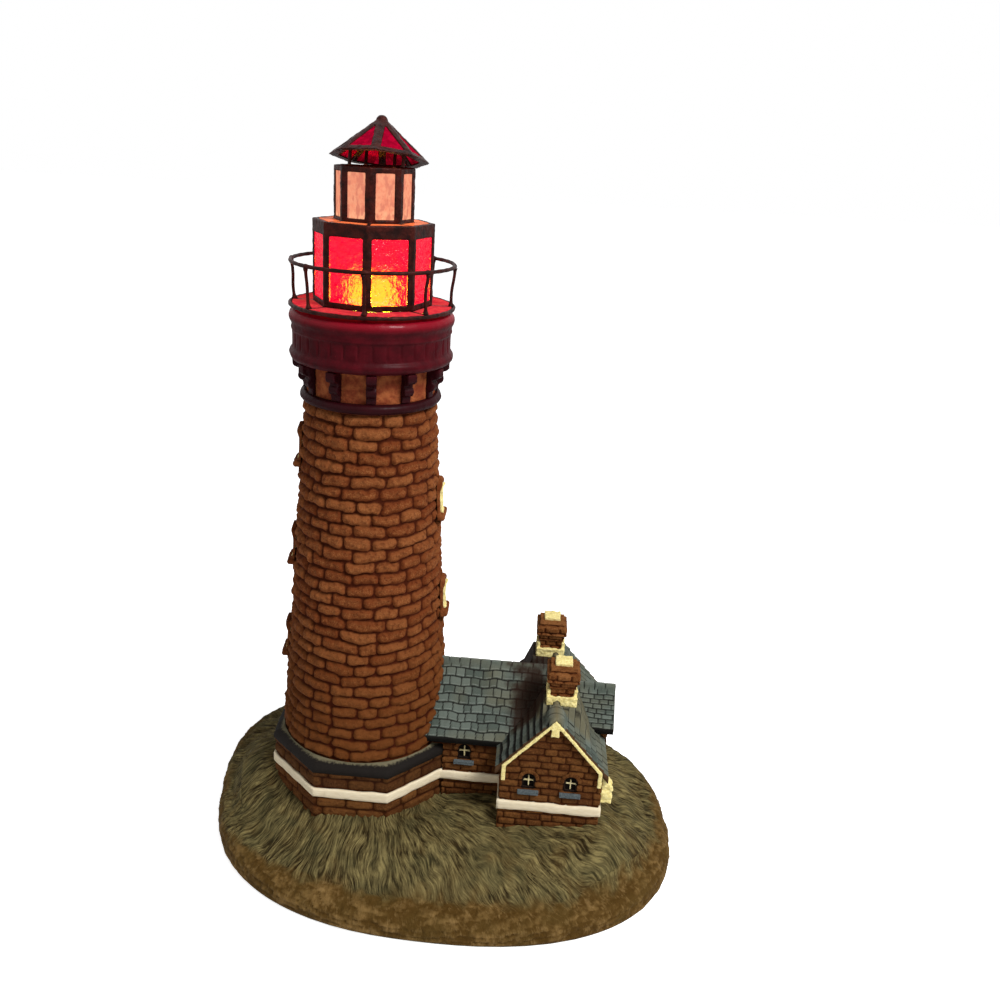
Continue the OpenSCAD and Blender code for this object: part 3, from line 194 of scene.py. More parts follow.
def swell(x, y):
    """The solid's hills, hollows and swells, in mm."""
    turn = 2 * np.pi
    rise = sum(height * np.exp(-((x - hill_x) ** 2 + (y - hill_y) ** 2) / spread ** 2)
               for hill_x, hill_y, height, spread in hills)
    wave = (np.sin(turn * x / 46 + math.radians(120) * np.sin(turn * y / 92))
            * np.sin(turn * y / 41 + math.radians(90) * np.sin(turn * x / 82)))
    return rise + 0.8 * wave


def lay_ground():
    """Points of the casting, in rows from the hollow underside out, up the bank, and in over the grass."""
    angle = np.arange(columns) * 2 * np.pi / columns
    reach, inner = base_reach(angle), house_reach(angle)
    plate_edge, grass_edge = reach - 2 * plate_recess, reach - bank_width
    rows = [(6.0, wiring_height), (plate_edge, wiring_height), (plate_edge + 3, plate_height),
            (reach - plate_recess, plate_height), (reach - plate_recess, felt), (reach - 3, felt)]
    first_bank, first_grass = len(rows), len(rows) + bank_rows
    bank, marks = np.linspace(0, 1, bank_rows), [0, 0.1, 0.24, 0.42, 0.6, 0.8, 1.0]
    insets = np.interp(bank, marks, [2, 0.6, 0, 0.8, 4.2, 9.0, bank_width])
    rises = np.interp(bank, marks, [0, 0.1, 0.28, 0.56, 0.8, 0.93, 1.0])
    rows += [(reach - inset, felt + (bank_height - felt) * rise) for inset, rise in zip(insets, rises)]
    rows += [(inner + (grass_edge - inner) * share, None) for share in np.linspace(1, 0, grass_rows + 1)[1:]]
    rows.append((6.0, None))
    radii = np.array([radius + 0 * angle for radius, _ in rows])
    x = base_middle[0] + radii * np.cos(angle)
    y = base_middle[1] + radii * np.sin(angle)
    from_rim = reach - radii
    rolling = swell(x, y) * unit((from_rim - 9) / 5)
    z = bank_height + (hill_height - bank_height) * (1 - unit(radii / grass_edge) ** 4) + rolling
    for k, (_, rise) in enumerate(rows):
        if rise is not None:
            z[k] = rise + (rolling[k] if k >= first_bank else 0)
    row_number = np.arange(len(rows))[:, None] + 0 * x
    on_bank = (row_number >= first_bank) & (row_number < first_grass)
    on_grass = row_number >= first_grass
    places = np.stack([x, y, z], -1)
    flat = places * (1, 1, 0)
    # bare earth, widest at the front, ends in a ragged line
    earth_wide = 4 + 11 * unit(np.cos(angle + math.radians(72))) ** 0.8
    earth = unit((earth_wide + uneven(flat, 15, 21, 9) + uneven(flat, 4, 22, 5) - from_rim) / 8 + 0.5)
    earth = earth * earth * (3 - 2 * earth)
    combed = comb(x, y)
    combed[..., 2] += np.where(on_bank, 1.3 * (bank_height - z) * mm, 0)
    far = unit((combed[..., 2] / mm - 85) / 30)
    blades = blades_at(combed, 75, 41) * (1 - far) + blades_at(combed, 130, 42) * far
    # slanting ledges of earth, broken into lumps
    slant = z * 1.3 + 9 * np.sin(3 * angle) + 5 * lumps(places, 13, 34)
    cracks = abs(lumps(places * (1, 1, 0.6), 3.2, 32) - 0.5)
    rock = (1.3 * lumps(places * (1, 1, 1.6), 9, 31) + 0.6 * cracks * 2 + 0.6 * lumps(places, 1.7, 33)
            + 0.7 * ((slant / 4.2) % 1) ** 2)
    fade = unit((z - felt) / 3) * earth
    push = np.where(on_bank, -0.95 * rock * fade - 0.8 * (1 - earth) * (1 - blades) * fade, 0)
    x, y = x + push * np.cos(angle), y + push * np.sin(angle)
    top = unit((from_rim - 3) / 5) * (on_bank | on_grass)
    broken = earth * 0.7 * rock * unit((bank_width + 9 - from_rim) / 9)
    z = z + top * ((1 - earth) * (2.6 * blades - 1.9) - broken)
    z = np.where(on_grass & under_house(x, y, 1.6), np.minimum(z, seat), z)
    # pocket for the cord bushing at the back
    back_y = base_middle[1] + float(base_reach(np.array(np.pi / 2)))
    gap = np.hypot(x - bushing_x, z - bushing_z)
    at_back = on_bank & (y > 60)
    y = np.where(at_back & (gap < flange_radius), np.minimum(y, back_y - 2.3), y)
    y = np.where(at_back & (gap < bushing_radius), back_y - 16, y)
    earth = np.where(row_number < first_bank, 1, earth)
    held = {"relief": blades, "comb": combed, "far": far, "earth": earth, "rock": unit(rock / 2.4)}
    return np.stack([x, y, z], -1), held


points, held = lay_ground()
ground = new_piece("ground_casting", points, capped(len(points), columns), "ground", held)


class Paint:
    """A socket in the material being made, so that shader maths is written as Python expressions."""

    tree = None

    def __init__(self, socket):
        self.socket = socket

    @staticmethod
    def node(kind, settings=None, inputs=None, output=0):
        """Adds one node: settings first, then the values or links of its sockets."""
        made = Paint.tree.nodes.new("ShaderNode" + kind)
        for key, value in (settings or {}).items():
            setattr(made, key, value)
        for key, value in (inputs or {}).items():
            if isinstance(value, Paint):
                Paint.tree.links.new(value.socket, made.inputs[key])
            else:
                made.inputs[key].default_value = value
        return Paint(made.outputs[output])

    @staticmethod
    def maths(kind, a, b):
        return Paint.node("Math", {"operation": kind}, {0: a, 1: b})

    def __add__(self, other): return Paint.maths("ADD", self, other)
    def __radd__(self, other): return Paint.maths("ADD", other, self)
    def __sub__(self, other): return Paint.maths("SUBTRACT", self, other)
    def __rsub__(self, other): return Paint.maths("SUBTRACT", other, self)
    def __mul__(self, other): return Paint.maths("MULTIPLY", self, other)
    def __rmul__(self, other): return Paint.maths("MULTIPLY", other, self)
    def __pow__(self, other): return Paint.maths("POWER", self, other)


def shade(colour):
    """Linear colour of a web colour."""
    parts = [int(colour[i:i + 2], 16) / 255 for i in (1, 3, 5)]
    return (*[c / 12.92 if c < 0.04045 else ((c + 0.055) / 1.055) ** 2.4 for c in parts], 1)


def mix(share, a, b):
    """Colour a where share is 0, and b where it is 1."""
    a, b = [shade(c) if isinstance(c, str) else c for c in (a, b)]
    return Paint.node("Mix", {"data_type": "RGBA"}, {0: share, 6: a, 7: b}, 2)


def fade_in(value, low, high):
    """0 below low, 1 above high, with a soft change between."""
    sockets = {"Value": value, "From Min": low, "From Max": high}
    return Paint.node("MapRange", {"interpolation_type": "SMOOTHSTEP"}, sockets)


def noise(place, stretch, detail, roughness=0.5):
    """Noise at a place that is first stretched along its axes."""
    place = Paint.node("VectorMath", {"operation": "MULTIPLY"}, {0: place, 1: stretch})
    values = {"Vector": place, "Scale": 1.0, "Detail": detail, "Roughness": roughness}
    return Paint.node("TexNoise", {}, values)


def own_place():
    """Place on the piece itself."""
    return Paint.node("TexCoord", output="Object")


def grain(size, detail=2.0, stretch=(1, 1, 1)):
    """Noise on the piece itself, with grains of the given size in mm, longer where stretch is under 1."""
    return noise(own_place(), [s / mm / size for s in stretch], detail)


def held_value(name):
    """A value painted on the piece's points."""
    return Paint.node("Attribute", {"attribute_name": name}, output="Fac")


def bumps(height, depth):
    """Normals of a height from 0 to 1 that is the given depth in mm."""
    return Paint.node("Bump", {}, {"Strength": 1.0, "Distance": depth * mm, "Height": height})


def surface(colour, roughness, normal, shine=0.5):
    """Sockets that nearly every recipe sets."""
    return {"Base Color": colour, "Roughness": roughness, "Normal": normal, "Specular IOR Level": shine}


def finish(name, recipe):
    """Makes a material whose surface has the sockets that the recipe gives."""
    made = bpy.data.materials.new(name)
    made.use_nodes = True
    Paint.tree = made.node_tree
    Paint.tree.nodes.clear()
    look = Paint.node("BsdfPrincipled", {}, recipe())
    out = Paint.tree.nodes.new("ShaderNodeOutputMaterial")
    Paint.tree.links.new(look.socket, out.inputs["Surface"])
    return made


def coat(made, *pieces):
    """Gives pieces one material in place of any they have."""
    for piece in pieces:
        if len(piece.material_slots):
            for held_slot in piece.material_slots:
                held_slot.material = made
        else:
            piece.data.materials.append(made)


def painted_ground():
    earth, rock = held_value("earth"), held_value("rock")
    combed = Paint.node("Attribute", {"attribute_name": "comb"}, output="Vector")
    near, far = [noise(combed, (strands, strands, 1 / mm / 5), 3.0, 0.55) for strands in (95, 165)]
    strand = near + held_value("far") * (far - near)
    relief, fine, patch = held_value("relief"), grain(0.9, 3), grain(15, 2)
    blade = mix(fade_in(0.75 * strand + 0.25 * relief, 0.35, 0.54), "#261d0c", "#615535")
    blade = mix(fade_in(0.8 * strand + 0.2 * relief, 0.5, 0.68) * 0.8, blade, "#928354")
    blade = mix(fade_in(patch, 0.4, 0.68) * 0.3, blade, "#48482f")
    blade = mix(fade_in(grain(11, 3), 0.5, 0.72) * 0.3, blade, "#604a26")
    streak = grain(2.4, 4, (1, 1, 0.5))
    clod = mix(fade_in(rock + 0.7 * (streak - 0.5), 0.12, 0.7), "#7b6037", "#4c3614")
    clod = mix(fade_in(0.6 * grain(3.4, 4) + 0.4 * strand, 0.5, 0.66) * 0.4, clod, "#94774b")
    clod = mix(fade_in(grain(1.3, 3), 0.56, 0.75) * 0.35, clod, "#332008")
    clod = mix(fade_in(patch, 0.45, 0.7) * 0.4, clod, "#54421f")
    height = (1 - 0.75 * earth) * strand + 0.25 * fine + 1.3 * earth * grain(4.2, 5, (1, 1, 0.8))
    return surface(mix(earth, blade, clod), 0.84 - 0.14 * fine, bumps(height, 1.3), 0.06)


coat(finish("painted_ground", painted_ground), ground)


# UNDERSIDE
# A steel plate closes the wiring space and is held by four screws. Green felt is glued over it.
# The cord leaves through a black bushing in the back of the bank.
def green_felt():
    fibre = grain(0.35, 3, (1, 2.5, 1))
    colour = mix(fade_in(fibre, 0.3, 0.75), "#1b2a1c", "#3d5a3f")
    return surface(colour, 1.0, bumps(fibre, 0.3)) | {"Sheen Weight": 0.4}


def rolled_steel():
    scratch = grain(0.5, 3, (0.05, 1, 1))
    colour = mix(grain(7), "#8f9092", "#b4b3b0")
    return surface(colour, 0.34 + 0.2 * scratch, bumps(scratch, 0.03)) | {"Metallic": 0.9}


def one_grain(low, high, roughness, depth, *grains):
    """A finish whose colour, roughness and bumps follow one fine grain, as on moulded plastic."""
    def recipe():
        speck = grain(*grains)
        return surface(mix(speck, low, high), roughness + 0.2 * speck, bumps(speck, depth))
    return recipe


steel = finish("rolled_steel", rolled_steel)
coat(finish("green_felt", green_felt), cad["felt_pad"])
coat(steel, cad["base_plate"], cad["base_screws"], cad["plate_screws"])
coat(finish("black_plastic", one_grain("#121110", "#23211f", 0.42, 0.04, 0.3, 2)), cad["cord_bushing"])


# TOWER
# A hollow resin casting with thirty courses of worn bricks, a smooth tan band under the gallery, and a ledge
# inside its top for the socket. The bricks are orange brown, dry-brushed over dark joints, with painted shade
# making them darker towards the foot.
foot_radius, top_radius, brick_foot, course, courses, brick_length = 45, 32.6, 64, 6.13, 30, 15.4
brick_top, band_top, band_radius, plinth_top = 247.9, 267.9, 31.5, 57
inside_radius, top_bore, ledge_bore, ledge_foot = 35, 22, 15, 241.9
tower_windows = [(-84, 107.5), (-84, 161.5), (-84, 215.5), (90, 136), (90, 190.5)]
pane_half, pane_spring = 3.6, 12.2


def tower_reach(z):
    """Radius of the tapering brickwork at a height."""
    return np.interp(z, [brick_foot, brick_top], [foot_radius, top_radius])


def brickwork(along, up, long, high, seed, joint=0.2, soft=2.3, corner=2.2, around=None):
    """Height of laid bricks, 0 in a joint and 1 on a face, and a tone for each brick. along is in mm,
    or a share of a turn where around gives the number of bricks in each course."""
    row = np.floor(up / high).astype(np.int64)
    rise = up - row * high
    count = None if around is None else around[np.clip(row, 0, len(around) - 1)]
    place = along / long if around is None else along * count
    place = place + 0.5 * (row % 2) + 0.3 * (dice(row, 1, 0, seed) - 0.5)
    cell = np.floor(place).astype(np.int64)

    def chance(c, kind):
        return dice(c if around is None else c % count, row, kind, seed)

    def edge(c):
        return c + 0.42 * (chance(c, 2) - 0.5)

    cell = cell - (place < edge(cell)) + (place >= edge(cell + 1))
    side = np.minimum(place - edge(cell), edge(cell + 1) - place) * long
    thick = 0.3 * chance(cell, 4) - 0.15
    lean = 0.16 * high * (chance(cell, 5) - 0.5) * 2 * (place - cell - 0.5)
    bed = np.minimum(rise + lean, high - rise - lean) - thick
    a, b = corner - side, corner - bed
    deep = np.where((a > 0) & (b > 0), corner - np.hypot(a, b), np.minimum(side, bed))
    return 1 - (1 - unit((deep - joint) / soft)) ** 2.1, chance(cell, 3)


def turned(name, section, columns, shape, cad_name, body="lamp_base"):
    """Makes a ring round the tower's axis from (radius, z) points in mm. shape moves the grid of points
    given as share of a turn from the front, radius and z, and returns its radius, z and held values."""
    section = np.array(section, float)
    share = (np.arange(columns) / columns)[None, :]
    radius, z = section[:, :1] + 0 * share, section[:, 1:2] + 0 * share
    radius, z, held = shape(share + 0 * radius, radius, z)
    turn = math.radians(-90) + share * 2 * np.pi
    points = np.stack([radius * np.cos(turn), radius * np.sin(turn), z], -1)
    return new_piece(name, points, wrap(len(section), columns, True), cad_name, held, body)


def drum(share, radius, z):
    """Places on a plain drum, for noise that is even all round a turned piece."""
    turn = share * 2 * np.pi
    return np.stack([radius * np.cos(turn), radius * np.sin(turn), z], -1)


course_steps, band_steps, first_course = np.arange(9) / 9, 12, 4
tower_section = [(foot_radius, z) for z in (seat, plinth_top, 60, 62)]
course_heights = brick_foot + (np.arange(courses)[:, None] + course_steps) * course
tower_section += [(tower_reach(z), z) for z in course_heights.ravel()]
first_band = len(tower_section)
tower_section += [(band_radius, z) for z in np.linspace(brick_top, band_top, band_steps)]
# the hollow inside, with the ledge
tower_section += [(top_bore, band_top), (top_bore, brick_top), (ledge_bore, brick_top)]
tower_section += [(ledge_bore, ledge_foot), (top_bore + 0.6, ledge_foot)]
tower_section += [(inside_radius, brick_foot), (inside_radius, seat)]
course_middles = brick_foot + (np.arange(courses) + 0.5) * course
per_course = np.round(2 * np.pi * tower_reach(course_middles) / brick_length).astype(int)


def lay_tower(share, radius, z):
    rows, band = slice(first_course, first_band), slice(first_band, first_band + band_steps)
    skin = drum(share, 40, z)
    drift = (uneven(skin, 14, 51, 2.0) + uneven(skin, 5, 52, 1.4)) * unit((z - brick_foot) / 6)
    drift = drift * unit((brick_top - z) / 6) + uneven(skin, 2.6, 58, 0.8)
    ragged = share + uneven(skin, 3.1, 57, 1.3) / 240
    height, tone, pane, plain = np.ones_like(z), np.full_like(z, 0.5), np.zeros_like(z), np.zeros_like(z)
    laid = z[rows] - brick_foot + drift[rows]
    height[rows], tone[rows] = brickwork(ragged[rows], laid, brick_length, course, 7, around=per_course)
    pits = 0.5 * (tone - 0.5) + uneven(skin, 4.5, 54, 0.9) + uneven(skin, 2.2, 53, 1.3)
    bulge = height * (1.9 + pits) - 1.6
    for window_turn, sill in tower_windows:
        off = (share * 360 - window_turn % 360 + 180) % 360 - 180
        across, rise = np.radians(off) * radius, z - sill
        arch = np.where(rise < pane_spring, abs(across) < pane_half,
                        np.hypot(across, rise - pane_spring) < pane_half)
        pane = np.maximum(pane, arch & (rise > -0.2))
    bulge = np.where(pane > 0, -0.6, bulge)
    radius = radius.copy()
    radius[rows] += bulge[rows]
    radius[band] += uneven(skin[band], 5, 55, 0.25)
    plain[first_band:] = 1
    return radius, z, {"relief": height, "tone": tone, "pane": pane, "band": plain}


def own_height():
    """Height on the piece itself, in metres."""
    return Paint.node("SeparateXYZ", {}, {0: own_place()}, "Z")


def risen(low, high):
    """0 below a height in mm and 1 above another."""
    return fade_in(own_height(), low * mm, high * mm)


def painted_bricks(deep, low, high, bright, band=None, foot_shade=None):
    """Brick paint: joint, two faces and dry-brushing, then a smooth band's two colours, and a colour of
    painted shade with the heights in mm over which it fades out upwards."""
    def recipe():
        relief, tone = held_value("relief"), held_value("tone")
        speck, smear = grain(0.55, 3), grain(3.2, 3, (1, 1, 1.8))
        face = mix(fade_in(0.55 * tone + 0.6 * smear, 0.3, 0.85), low, high)
        face = mix(fade_in(speck * 0.8 + 0.4 * relief, 0.72, 0.98) * 0.5, face, bright)
        face = mix(fade_in(grain(2.0, 4), 0.5, 0.68) * 0.5, face, deep)
        # painted shade: darker towards the foot, fading out upwards
        if foot_shade:
            face = mix((1 - risen(*foot_shade[1:])) * 0.75, face, foot_shade[0])
        colour = mix(fade_in(relief + 0.3 * (speck - 0.5), 0.0, 0.52), deep, face)
        if band:
            colour = mix(held_value("band"), colour, mix(fade_in(grain(4, 3), 0.35, 0.7), *band))
        # dark window openings, and on the plinth painted shade under the moulding
        colour = mix(held_value("pane"), colour, "#0e0a08")
        return surface(colour, 0.74 + 0.18 * speck, bumps(0.4 * speck + 1.0 * grain(2.0, 4), 0.75), 0.06)
    return recipe


tower = turned("tower_brickwork", tower_section, 330, lay_tower, "tower_shell")
# the lower tower gets painted shade, fading out from 60 to 170 mm up
tower_paint = finish("painted_tower_brick", painted_bricks(
    "#3c1506", "#663116", "#7e4826", "#a06a3e", band=("#74341f", "#9a5632"), foot_shade=("#5a3314", 60, 170)))
coat(tower_paint, tower)


# PLINTH
# Eight sides of larger bricks under the tower, cast with the ground. A black moulding covers their top, and
# an off-white stripe is painted round them over a slightly raised band.
plinth_inside, plinth_side, plinth_brick, plinth_course = 45.1, 39.04, 15.6, 6.1
stripe_low, stripe_high = 42.1, 47.9
eighth = math.pi / 4


def octagon(share):
    """Radius of an octagon of corner radius 1 at shares of a turn, and the angle from a side's middle."""
    local = ((share * 8 + 0.5) % 1 - 0.5) * eighth
    return math.cos(eighth / 2) / np.cos(local), local


def lay_plinth(share, radius, z):
    ratio, local = octagon(share)
    side = np.floor(share * 8 + 0.5)
    along = (side + 0.5 + math.cos(eighth / 2) * np.tan(local) * plinth_corner / plinth_side) / 8
    height, tone = brickwork(along % 1.0, z - 29.7 + 3 * plinth_course, plinth_brick, plinth_course, 17,
                             joint=0.15, soft=1.8, around=np.full(12, 20))
    bulge = height * (1.0 + 0.3 * (tone - 0.5) + uneven(drum(share, 50, z), 5, 61, 0.5)) - 0.95
    radius = np.where(radius > plinth_inside + 0.9, radius * ratio + bulge, radius)
    # painted shade under the moulding, growing towards the top of the bricks
    moulding_shade = 0.33 * unit((z - stripe_high + 1) / 3)
    return radius, z, {"relief": height, "tone": tone, "pane": moulding_shade, "band": 0 * z}


plinth_section = [(plinth_inside, seat)] + [(plinth_corner, z) for z in np.arange(seat, plinth_top, 0.62)]
plinth_section += [(plinth_corner, plinth_top), (plinth_inside, plinth_top)]
plinth = turned("plinth_brickwork", plinth_section, 512, lay_plinth, "tower_plinth")
house_paint = finish("painted_house_brick", painted_bricks("#391a08", "#4e2c13", "#66401f", "#7e5430"))
coat(house_paint, plinth)


def lay_stripe(share, radius, z):
    skin = drum(share, 50, 0 * z)
    upper = z > (stripe_low + stripe_high) / 2
    wave = np.where(upper, lumps(skin, 6, 71), lumps(skin, 6, 72)) - 0.5
    swollen = np.where(radius > plinth_corner, uneven(skin + (0, 0, 3), 5, 73, 0.35), 0)
    return radius * octagon(share)[0] + swollen, z + 0.9 * wave, {}


def off_white_paint():
    brush, dirt = grain(1.6, 3, (0.5, 0.5, 2)), grain(5, 3)
    colour = mix(fade_in(brush, 0.3, 0.8), "#e0d0b0", "#e9dcc0")
    colour = mix(fade_in(dirt, 0.62, 0.78) * 0.25, colour, "#a38f72")
    return surface(colour, 0.6 + 0.2 * brush, bumps(brush, 0.15), 0.1)


stripe_section = [(50.3, 42.3), (51.4, 42.3), (51.75, 42.8), (51.8, 44)]
stripe_section += [(51.8, 46), (51.75, 47.2), (51.4, 47.7), (50.3, 47.7)]
stripe = turned("plinth_stripe_paint", stripe_section, 384, lay_stripe, "plinth_stripe")
stripe_paint = finish("off_white_paint", off_white_paint)
coat(stripe_paint, stripe)


def lay_moulding(share, radius, z):
    """An octagon at its foot that is nearly round at its top."""
    ratio, skin = octagon(share)[0], drum(share, 50, z)
    round_off = unit((z - plinth_top) / 9)
    shaped = radius * (ratio * (1 - round_off) + round_off * (0.5 + 0.5 * ratio))
    shaped = np.maximum(shaped, plinth_inside) + uneven(skin, 6, 81, 0.5) + uneven(skin, 2.2, 82, 0.25)
    outer = radius > 45.5
    lifted = z + np.where(outer, uneven(skin, 8, 83, 0.3), 0)
    return np.where(outer, shaped, radius), lifted, {"top": unit((z - 61) / 2.6)}


def black_paint():
    speck = grain(0.7, 3)
    worn = fade_in(held_value("top") + 0.7 * (grain(1.2, 3, (1, 1, 0.5)) - 0.5), 0.55, 0.95)
    colour = mix(worn * 0.9, mix(speck, "#0e0b08", "#1f1a17"), "#6e6750")
    return surface(colour, 0.7 + 0.2 * speck, bumps(speck + grain(2.4), 0.2), 0.12)


moulding_section = [(45.05, 57), (50.9, 57.05), (51.4, 57.4), (51.6, 58.2), (51.55, 59.2), (51.3, 60.2),
                    (50.7, 61.1), (49.8, 61.8), (48.8, 62.3), (47.8, 62.7), (47.0, 63.2), (46.5, 63.7),
                    (45.9, 63.95), (45.05, 64)]
moulding = turned("plinth_moulding_lip", moulding_section, 384, lay_moulding, "plinth_moulding")
coat(finish("black_paint", black_paint), moulding)


# TOWER WINDOWS
# Five small windows stand out of the brickwork: a brick surround with a hood, a sill on a bracket, and a
# cream painted frame. Each is cast with the tower, so its edges are soft.
def spread(piece):
    """Points in mm and normals of a piece."""
    count = len(piece.data.vertices)
    points, normals = np.empty(count * 3, np.float32), np.empty(count * 3, np.float32)
    piece.data.vertices.foreach_get("co", points)
    piece.data.vertices.foreach_get("normal", normals)
    return points.reshape(-1, 3).astype(float) / mm, normals.reshape(-1, 3).astype(float)


def move(piece, points):
    """Puts a piece's points at places in mm."""
    piece.data.vertices.foreach_set("co", (points * mm).astype(np.float32).ravel())
    piece.data.update()


def hold_bricks(piece, relief, tone, pane=0):
    """Paints on a piece's points what brick paint reads."""
    hold(piece.data, {"relief": relief, "tone": tone, "pane": pane + 0 * relief, "band": 0 * relief})


def cast(name, cad_name, voxel, soften, wobble, seed, size=3.0, body="lamp_base"):
    """Copies a CAD node as one soft casting: fine even faces, worn edges, and lumps of a size in mm."""
    blank = bpy.data.objects.new(name, cad[cad_name].data.copy())
    scene.collection.objects.link(blank)
    remesh = blank.modifiers.new("even", "REMESH")
    remesh.mode, remesh.voxel_size = "VOXEL", voxel * mm
    worn = blank.modifiers.new("worn", "SMOOTH")
    worn.factor, worn.iterations = 0.5, soften
    shaped = bpy.data.meshes.new_from_object(blank.evaluated_get(bpy.context.evaluated_depsgraph_get()))
    shaped.name = name
    bpy.data.objects.remove(blank)
    piece = bpy.data.objects.new(name, shaped)
    scene.collection.objects.link(piece)
    shaped.materials.clear()
    shaped.polygons.foreach_set("use_smooth", [True] * len(shaped.polygons))
    points, normals = spread(piece)
    lump = uneven(points, size, seed, 0.65) + uneven(points, size / 2.3, seed + 1, 0.35)
    move(piece, points + normals * (2 * wobble * lump)[:, None])
    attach(piece, body)
    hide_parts(cad_name)
    return piece


def bell(off, width):
    """1 where off is 0, falling to both sides."""
    return np.exp(-(off / width) ** 2)


def press(piece, more):
    """Presses a piece of the tower windows back, least at the sill and next at the head."""
    x, y, z = spread(piece)[0].T
    across = np.hypot(x, y)
    out = across - tower_reach(z)
    for window_turn, sill in tower_windows:
        here = (np.sign(x) == np.sign(window_turn)) & (z > sill - 9) & (z < sill + 20)
        kept = 0.42 + more * np.sign(window_turn) + 0.28 * bell(z - sill - 15.5, 2.6)
        kept = kept + 0.42 * bell(z - sill + 1.5, 2.0)
        pressed = 1 - np.where(here & (out > 0), out * (1 - kept), 0) / across
        x, y = x * pressed, y * pressed
    move(piece, np.stack([x, y, z], -1))


def cream_paint():
    brush = grain(1.1, 3)
    colour = mix(fade_in(brush, 0.35, 0.7), "#e0cd84", "#f4e6a4")
    colour = mix(fade_in(grain(2.6, 3), 0.62, 0.76) * 0.5, colour, "#8f7440")
    return surface(colour, 0.6 + 0.2 * brush, bumps(brush, 0.25), 0.1)


hoods = cast("tower_window_surrounds", "tower_window_hoods", 0.42, 3, 0.3, 5)
press(hoods, 0)
points, normals = spread(hoods)
hold_bricks(hoods, 0.6 + uneven(points, 2.5, 9, 0.5), lumps(points, 5, 10))
coat(tower_paint, hoods)
frames = cast("tower_window_bars", "tower_window_frames", 0.3, 1, 0.8, 7, 2.4)
press(frames, 0.1)
cream = finish("cream_paint", cream_paint)
coat(cream, frames)


# GALLERY
# A maroon crown on the tower: a ring, twelve scrolled brackets, and a cornice with panels between two beads.
# It is cast with the tower and painted in a glossy dark red with pinkish dry-brushing on its beads. Painted
# shade darkens the ring and brackets under the cornice, and the top bead is painted bright red as the
# lantern's red light.
frieze_radius, cornice_top = 38.3, 292.9
panel_low, panel_high, panel_count = 274.2, 282, 36


def worn_ring(panels):
    """Wears a turned ring, and cuts upright grooves between panels where asked."""
    def shape(share, radius, z):
        skin = drum(share, 38, z)
        radius = radius + np.where(radius > 31, uneven(skin, 7, 91, 0.35) + uneven(skin, 2.5, 92, 0.2), 0)
        if panels:
            near = abs((share * panel_count + 0.5) % 1 - 0.5) / panel_count * 2 * np.pi * frieze_radius
            cut = unit(1 - near / 0.9) ** 1.5 * unit((z - panel_low) / 1.2) * unit((panel_high - z) / 1.2)
            radius = radius - 0.75 * cut * (radius > 34)
        return radius, z, {}
    return shape


def arc(middle_r, middle_z, r, a0, a1, n):
    """n points of an arc in a section, from one angle to another in degrees."""
    turns = [math.radians(a) for a in np.linspace(a0, a1, n)]
    return [(middle_r + r * math.cos(turn), middle_z + r * math.sin(turn)) for turn in turns]


def maroon_gloss():
    speck, cloud = grain(0.6, 3), grain(6, 3)
    colour = mix(fade_in(cloud, 0.3, 0.7), "#38040b", "#480811")
    colour = mix(fade_in(speck + 0.3 * cloud, 0.8, 0.98) * 0.25, colour, "#7c3034")
    # painted shade: darker under the cornice, on the neck ring and the brackets
    colour = mix(1 - risen(264, 272), colour, mix(cloud, "#1c0407", "#30080e"))
    # painted red light from the lantern on the top bead
    rim = risen(286.8, 291.2)
    normal = bumps(0.4 * speck + grain(2.4, 3), 0.25)
    sockets = surface(mix(rim, colour, "#7c0418"), 0.32 + 0.3 * speck, normal, 0.05)
    return sockets | {"Coat Weight": 0.03 + 0.12 * rim, "Coat Roughness": 0.2}


neck_section = [(31.6, 248.0)] + arc(32.4, 250.4, 2.45, -80, 80, 10) + [(31.6, 252.8)]
neck = turned("neck_ring_bead", neck_section, 256, worn_ring(False), "neck_ring")
cornice_section = [(top_bore, band_top), (36.6, band_top)] + arc(36.8, 270.9, 3, -80, 60, 9)
cornice_section += [(frieze_radius, z) for z in (274.3, *np.linspace(275, 281.8, 8))]
cornice_section += arc(37.8, 282.9, 1.1, -50, 50, 4) + arc(35.6, 288.5, 4.2, -38, 86, 12)
cornice_section += [(34.5, cornice_top), (top_bore, cornice_top)]
cornice = turned("gallery_cornice_casting", cornice_section, 432, worn_ring(True), "gallery_cornice")
brackets = cast("gallery_brackets", "corbels", 0.4, 4, 0.25, 13)
coat(finish("maroon_gloss", maroon_gloss), neck, cornice, brackets)


# HOUSE WALLS
# The hall, the cross wing and the low end bay are one hollow casting with small bricks, painted a darker
# red brown than the tower. The window openings are sunk and dark.
window_foot, window_high, window_wide = 55.6, 10, 7
house_windows = [(92.6, -wing_front), (114.4, -wing_front), (57.5, -hall_half)]
house_brick, house_course = 8.6, 4.05
wall_castings = [("hall_brickwork", "hall_walls", 21), ("front_wing_brickwork", "front_wing_walls", 23),
                 ("rear_wing_brickwork", "rear_wing_walls", 25), ("end_bay_brickwork", "end_walls", 27)]
for name, cad_name, seed in wall_castings:
    walls = cast(name, cad_name, 0.5, 2, 0.12, seed)
    points, normals = spread(walls)
    x, y, z = points.T
    height, tone = brickwork(x + y, z - seat, house_brick, house_course, seed, 0.22, 0.95, 1.1)
    pane = 0 * z
    for window_x, wall_y in house_windows:
        opening = (z > window_foot - 0.3) & (z < window_foot + window_high + 0.3)
        opening = opening & (abs(x - window_x) < window_wide / 2 + 0.3)
        pane[opening & (y > wall_y + 0.7) & (y < wall_y + 3)] = 1
    upright = unit(1.6 - 2 * abs(normals[:, 2])) * (pane == 0)
    bulge = (0.85 * height - 0.65 + 0.25 * (tone - 0.5) * height) * upright
    move(walls, points + normals * bulge[:, None])
    hold_bricks(walls, height, tone, pane)
    coat(house_paint, walls)


